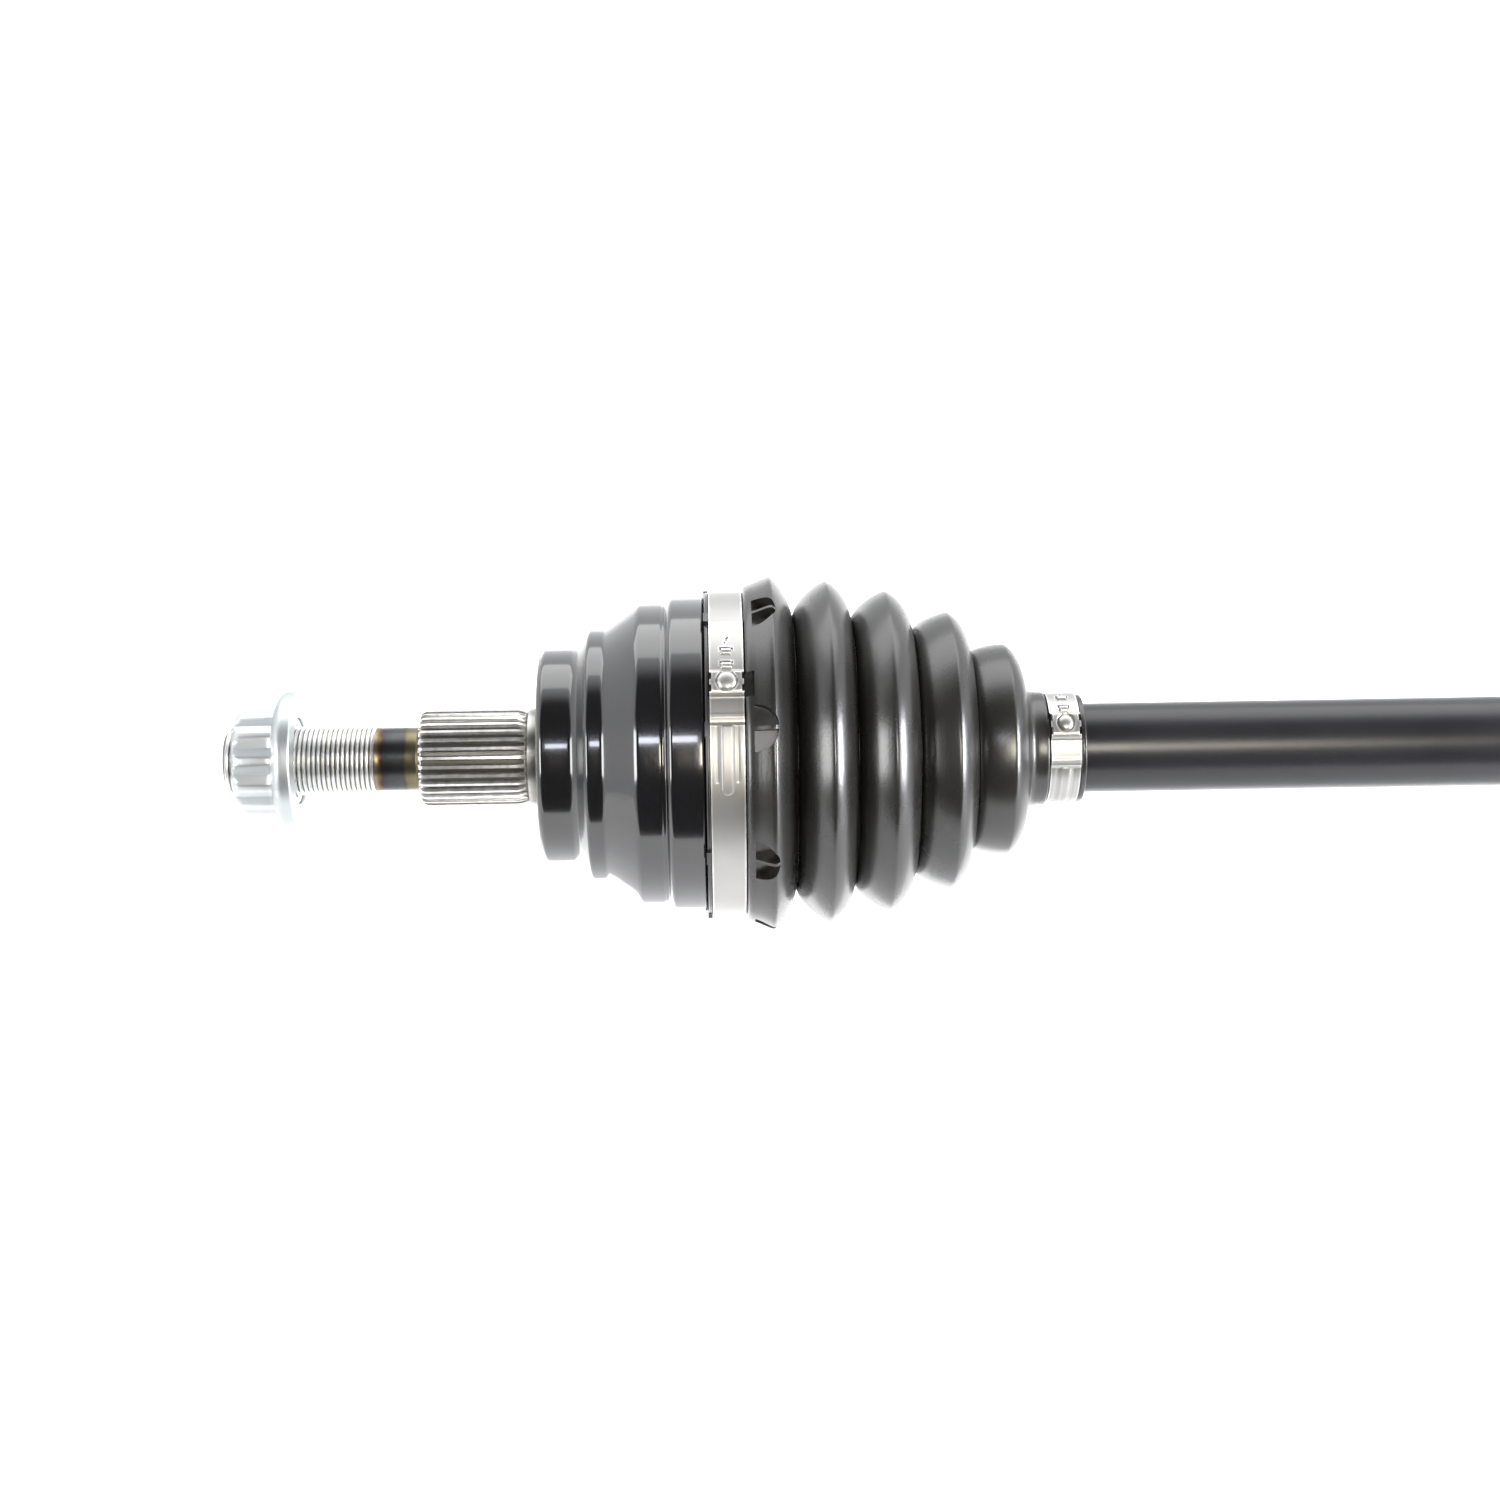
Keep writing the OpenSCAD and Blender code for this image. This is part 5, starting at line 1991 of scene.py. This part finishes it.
@dataclass(frozen=True)
class InnerBoot:
    """The boot of the inner joint, in two pieces that meet in its first valley.

    Attributes:
        wall: Thickness of the boot in mm.
        folds: Folds of the boot.
        pitch: Distance between two folds in mm.
        bend: Length in mm over which the small end passes from bar to roller carrier; not used.
    """

    wall: float = 2.0
    folds: int = 5
    pitch: float = 13.0
    bend: float = 36.0

    def marks(self, mouth: float) -> Outline:
        """Crests and valleys from the housing to the bar, in mm.

        Args:
            mouth: Place of the housing's mouth in mm.

        Returns:
            Crest and valley in turn.
        """
        out = []
        for i in range(self.folds):
            r = 45.0 - 19.0 * (i / (self.folds - 1)) ** 1.6
            out.append((mouth - 4 - (i + 0.45) * self.pitch, r))
            out.append((mouth - 4 - (i + 0.95) * self.pitch, r - 8.2))
        return out

    def build(self, finishes: Finishes) -> tuple[bpy.types.Object, bpy.types.Object]:
        """Builds the piece on the bar and the piece on the housing.

        Args:
            finishes: The finishes.

        Returns:
            The small-end piece and the large-end piece.
        """
        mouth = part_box("inner_joint_housing")[0].x / MM
        marks = self.marks(mouth)
        seam = marks[1]
        rest = marks[2:]
        x_end = mouth - 4 - self.folds * self.pitch
        near: Outline = [(seam[0], seam[1])]
        for i, (x, r) in enumerate(rest):
            near += arc(x, r - 1.9, 1.9, 40, 140, 8) if i % 2 == 0 else arc(x, r + 0.9, 0.9, 320, 215, 5)
        near += [(x_end - 2.6, 18.2), (x_end - 4.2, 17.9)]
        band = x_end - 5
        tail = [
            (band + 0.2, 17.4), (band, 16.1), (band - 8.7, 16.1), (band - 8.9, 16.9), (band - 10.4, 17.0),
            (band - 10.7, 16.4), (band - 10.7, 14.1), (x_end - 5.5, 14.1),
        ]
        skin = inset(smoothed(resampled(near, 0.9), 5), -self.wall)
        near_skin = [(max(x, x_end - 5.0), r) for x, r in smoothed(skin, 4)]
        near_skin[0] = (seam[0], seam[1] - self.wall)
        small = [*resampled(filleted([*near, *tail], 1.0, 3), 1.0), *reversed(near_skin)]
        far: Outline = [(seam[0], seam[1])]
        x, r = marks[0]
        far += arc(x, r - 1.9, 1.9, 140, 40, 8)
        far += [(mouth - 4.4, 41.2), (mouth - 3.2, 41.4), (mouth - 1.4, 44.4), (mouth - 0.4, 44.6)]
        skin = inset(smoothed(resampled(far, 0.9), 5), self.wall)
        far_skin = [(min(x, mouth - 0.6), r) for x, r in smoothed(skin, 4)]
        far_skin[0] = (seam[0], seam[1] - self.wall)
        head = [
            (mouth + 14.7, 44.6), (mouth + 15.0, 45.6), (mouth + 16.6, 46.0), (mouth + 17.1, 45.6),
            (mouth + 17.1, 42.6), (mouth - 0.4, 42.6),
        ]
        large = [*resampled(filleted([*far, *head], 1.0, 3), 1.0), *reversed(far_skin)]
        out = []
        for name, outline in (("inner_boot_small_end", small), ("inner_boot_large_end", large)):
            piece = turned(name, [(x * MM, r * MM) for x, r in outline], 192)
            soften(piece, 40.0)
            out.append(dress(piece, finishes.rubber))
        return out[0], out[1]

    def dress(self, finishes: Finishes) -> list[bpy.types.Object]:
        """Bakes both pieces' placement into their meshes and replaces the CAD node.

        Args:
            finishes: The finishes.

        Returns:
            Both pieces.
        """
        small, large = self.build(finishes)
        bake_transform(small)
        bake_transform(large)
        for piece in (small, large):
            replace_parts(piece, "inner_boot")
        return [small, large]


class Loose(Enum):
    """CAD nodes that stay as they are, by the finish they get."""

    POLISHED = tuple(f"ball_{i}" for i in range(1, 7)) + tuple(f"roller_needles_{i}" for i in (1, 2, 3))
    BEARING = (
        "outer_cage", "outer_inner_race", "tripod_spider",
        *(f"tripod_roller_{i}" for i in (1, 2, 3)),
        *(f"roller_inner_ring_{i}" for i in (1, 2, 3)),
    )
    SPRING = (
        "race_circlip", "race_stop_ring", "spider_circlip", "spider_stop_ring", "gearbox_circlip",
        *(f"roller_retainers_{i}" for i in (1, 2, 3)),
    )

    def dress(self, frame: dict, finishes: Finishes) -> None:
        """Gives these nodes their finish.

        Args:
            finishes: The finishes.
        """
        finish = {"POLISHED": finishes.polished, "BEARING": finishes.bearing, "SPRING": finishes.spring}
        for node in self.value:
            obj = frame["nodes"][node]
            material = finish[self.name].material()
            if obj.data.materials:
                for i in range(len(obj.data.materials)):
                    obj.data.materials[i] = material
            else:
                obj.data.materials.append(material)
            LOG.info("finish %s on %s", self.name.lower(), node)


# ---------------------------------------------------------------- surroundings


@dataclass(frozen=True)
class Studio:
    """A plain pale floor, soft light and the camera.

    Attributes:
        distance: Camera's distance from the axle in metres.
        foot: Place along the axle that the camera faces.
        lens: Focal length in mm.
        shift: Sideways shift of the frame.
        roll: Turn of the camera in degrees.
    """

    distance: float = 0.74
    foot: float = 0.054
    lens: float = 56.35
    shift: float = 0.0239
    roll: float = 0.95

    def backdrop(self) -> bpy.types.Object:
        """A pale floor that sweeps up behind the axle.

        Returns:
            The floor.
        """
        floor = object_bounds()[0].z - 0.30
        outline = [(-0.22, floor), (0.9, floor)]
        for i in range(1, 13):
            t = math.radians(90 * i / 12)
            outline.append((0.9 + 0.8 * math.sin(t), floor + 0.8 * (1 - math.cos(t))))
        outline.append((1.7, 1.1))
        verts = [(x, y, z) for y, z in outline for x in (-4.0, 4.6)]
        faces = [[2 * i, 2 * i + 1, 2 * i + 3, 2 * i + 2] for i in range(len(outline) - 1)]
        obj = new_object("backdrop", verts, faces)
        material = bpy.data.materials.new("backdrop")
        material.use_nodes = True
        shader = material.node_tree.nodes["Principled BSDF"]
        shader.inputs["Base Color"].default_value = (0.93, 0.93, 0.93, 1)
        shader.inputs["Roughness"].default_value = 0.95
        obj.data.materials.append(material)
        return obj

    @staticmethod
    def lamp(name: str, place: tuple, target: tuple, size: Point, power: float,
             colour: tuple = (1.0, 1.0, 1.0)) -> bpy.types.Object:
        """A soft rectangular lamp.

        Args:
            name: Name of the lamp.
            place: Where it stands.
            target: What it faces.
            size: Width and height in metres.
            power: Power in watts.
            colour: Colour of its light.

        Returns:
            The lamp.
        """
        light = bpy.data.lights.new(name, "AREA")
        light.shape = "RECTANGLE"
        light.size, light.size_y = size
        light.energy = power
        light.color = colour
        lamp = bpy.data.objects.new(name, light)
        lamp.location = place
        aim = Vector(target) - Vector(place)
        lamp.rotation_euler = aim.to_track_quat("-Z", "Y").to_euler()
        bpy.context.scene.collection.objects.link(lamp)
        return lamp

    @staticmethod
    def surround(scene: bpy.types.Scene) -> None:
        """A pale room that is dark only behind the camera.

        Args:
            scene: The scene.
        """
        world = bpy.data.worlds.new("studio")
        scene.world = world
        world.use_nodes = True
        world.node_tree.nodes.clear()
        n = Nodes(world.node_tree)
        place = n.add("ShaderNodeTexCoord").outputs["Generated"]
        depth = n.add("ShaderNodeSeparateXYZ", {0: place}).outputs["Y"]
        room = n.add(
            "ShaderNodeMapRange",
            {"Value": depth, "From Min": -0.56, "From Max": -0.30, "To Min": 0.10, "To Max": 1.3},
            interpolation_type="SMOOTHSTEP",
        )
        seen = n.add("ShaderNodeLightPath").outputs["Is Camera Ray"]
        strength = n.math("MAXIMUM", room.outputs[0], seen)
        light = n.add("ShaderNodeBackground", {"Color": (0.97, 0.98, 1.0, 1), "Strength": strength})
        n.add("ShaderNodeOutputWorld", {"Surface": light.outputs[0]})

    def build(self) -> None:
        """Sets up floor, light, world and camera."""
        scene = bpy.context.scene
        stage = [
            self.backdrop(),
            self.lamp("top_soft", (0.15, 0.05, 0.9), (0.15, 0, 0), (1.8, 0.6), 7.0),
            self.lamp("front_strip", (-0.04, -1.35, 0.25), (0.02, 0, 0), (0.26, 0.1), 1.3, (0.86, 0.88, 1.0)),
            self.lamp("front_warm", (0.33, -1.3, 0.0), (0.12, 0, 0), (0.4, 0.34), 8.0, (1.0, 0.94, 0.8)),
            self.lamp("right_strip", (1.12, -0.42, 0.0), (0.12, 0, 0), (0.3, 0.55), 20.0, (0.93, 0.94, 1.0)),
            self.lamp("left_strip", (-0.85, -0.62, 0.0), (0.0, 0, 0), (0.4, 0.55), 7.0),
            self.lamp("back_wall", (0.2, 0.5, 0.2), (0.2, 1.6, 0.1), (2.4, 1.6), 42.0),
        ]
        self.surround(scene)
        data = bpy.data.cameras.new("camera")
        data.lens = self.lens
        data.sensor_width = 36.0
        data.shift_x = self.shift
        data.clip_start = 0.01
        camera = bpy.data.objects.new("camera", data)
        turn = Matrix.Rotation(math.radians(self.roll), 4, "Y") @ Matrix.Rotation(math.pi / 2, 4, "X")
        camera.matrix_world = Matrix.Translation((self.foot, -self.distance, 0.0012)) @ turn
        scene.collection.objects.link(camera)
        scene.camera = camera
        scene.view_settings.view_transform = "Standard"
        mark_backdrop(*stage, camera)


def main() -> None:
    """Builds every piece in order."""
    logging.basicConfig(level=logging.INFO, format="%(name)s: %(message)s")
    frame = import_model()
    neck_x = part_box("outer_joint_housing")[0].x + HubHousing.thread_length * MM
    finishes = make_finishes((neck_x - 0.002, neck_x + 0.015))
    trees = Trees(ring_of_copies(), thread_ridge())
    LOG.info("outer joint housing")
    HubHousing().dress(trees, finishes)
    LOG.info("hub nut and washer")
    HubNut().dress(finishes)
    LOG.info("outer boot")
    OuterBoot().dress(trees, finishes)
    LOG.info("bar")
    Bar().dress(trees, finishes)
    LOG.info("inner joint housing")
    GearboxHousing().dress(trees, finishes)
    LOG.info("inner boot")
    InnerBoot().dress(finishes)
    for clamp in (
        EarClamp("outer_large_clamp", "hub_end"),
        EarClamp("outer_small_clamp", "axle_bar", large=False),
        EarClamp("inner_large_clamp", "gearbox_end"),
        EarClamp("inner_small_clamp", "axle_bar", large=False),
    ):
        LOG.info("clamp %s", clamp.node)
        clamp.dress(finishes)
    for group in Loose:
        group.dress(frame, finishes)
    Studio().build()


if __name__ == "__main__":
    main()
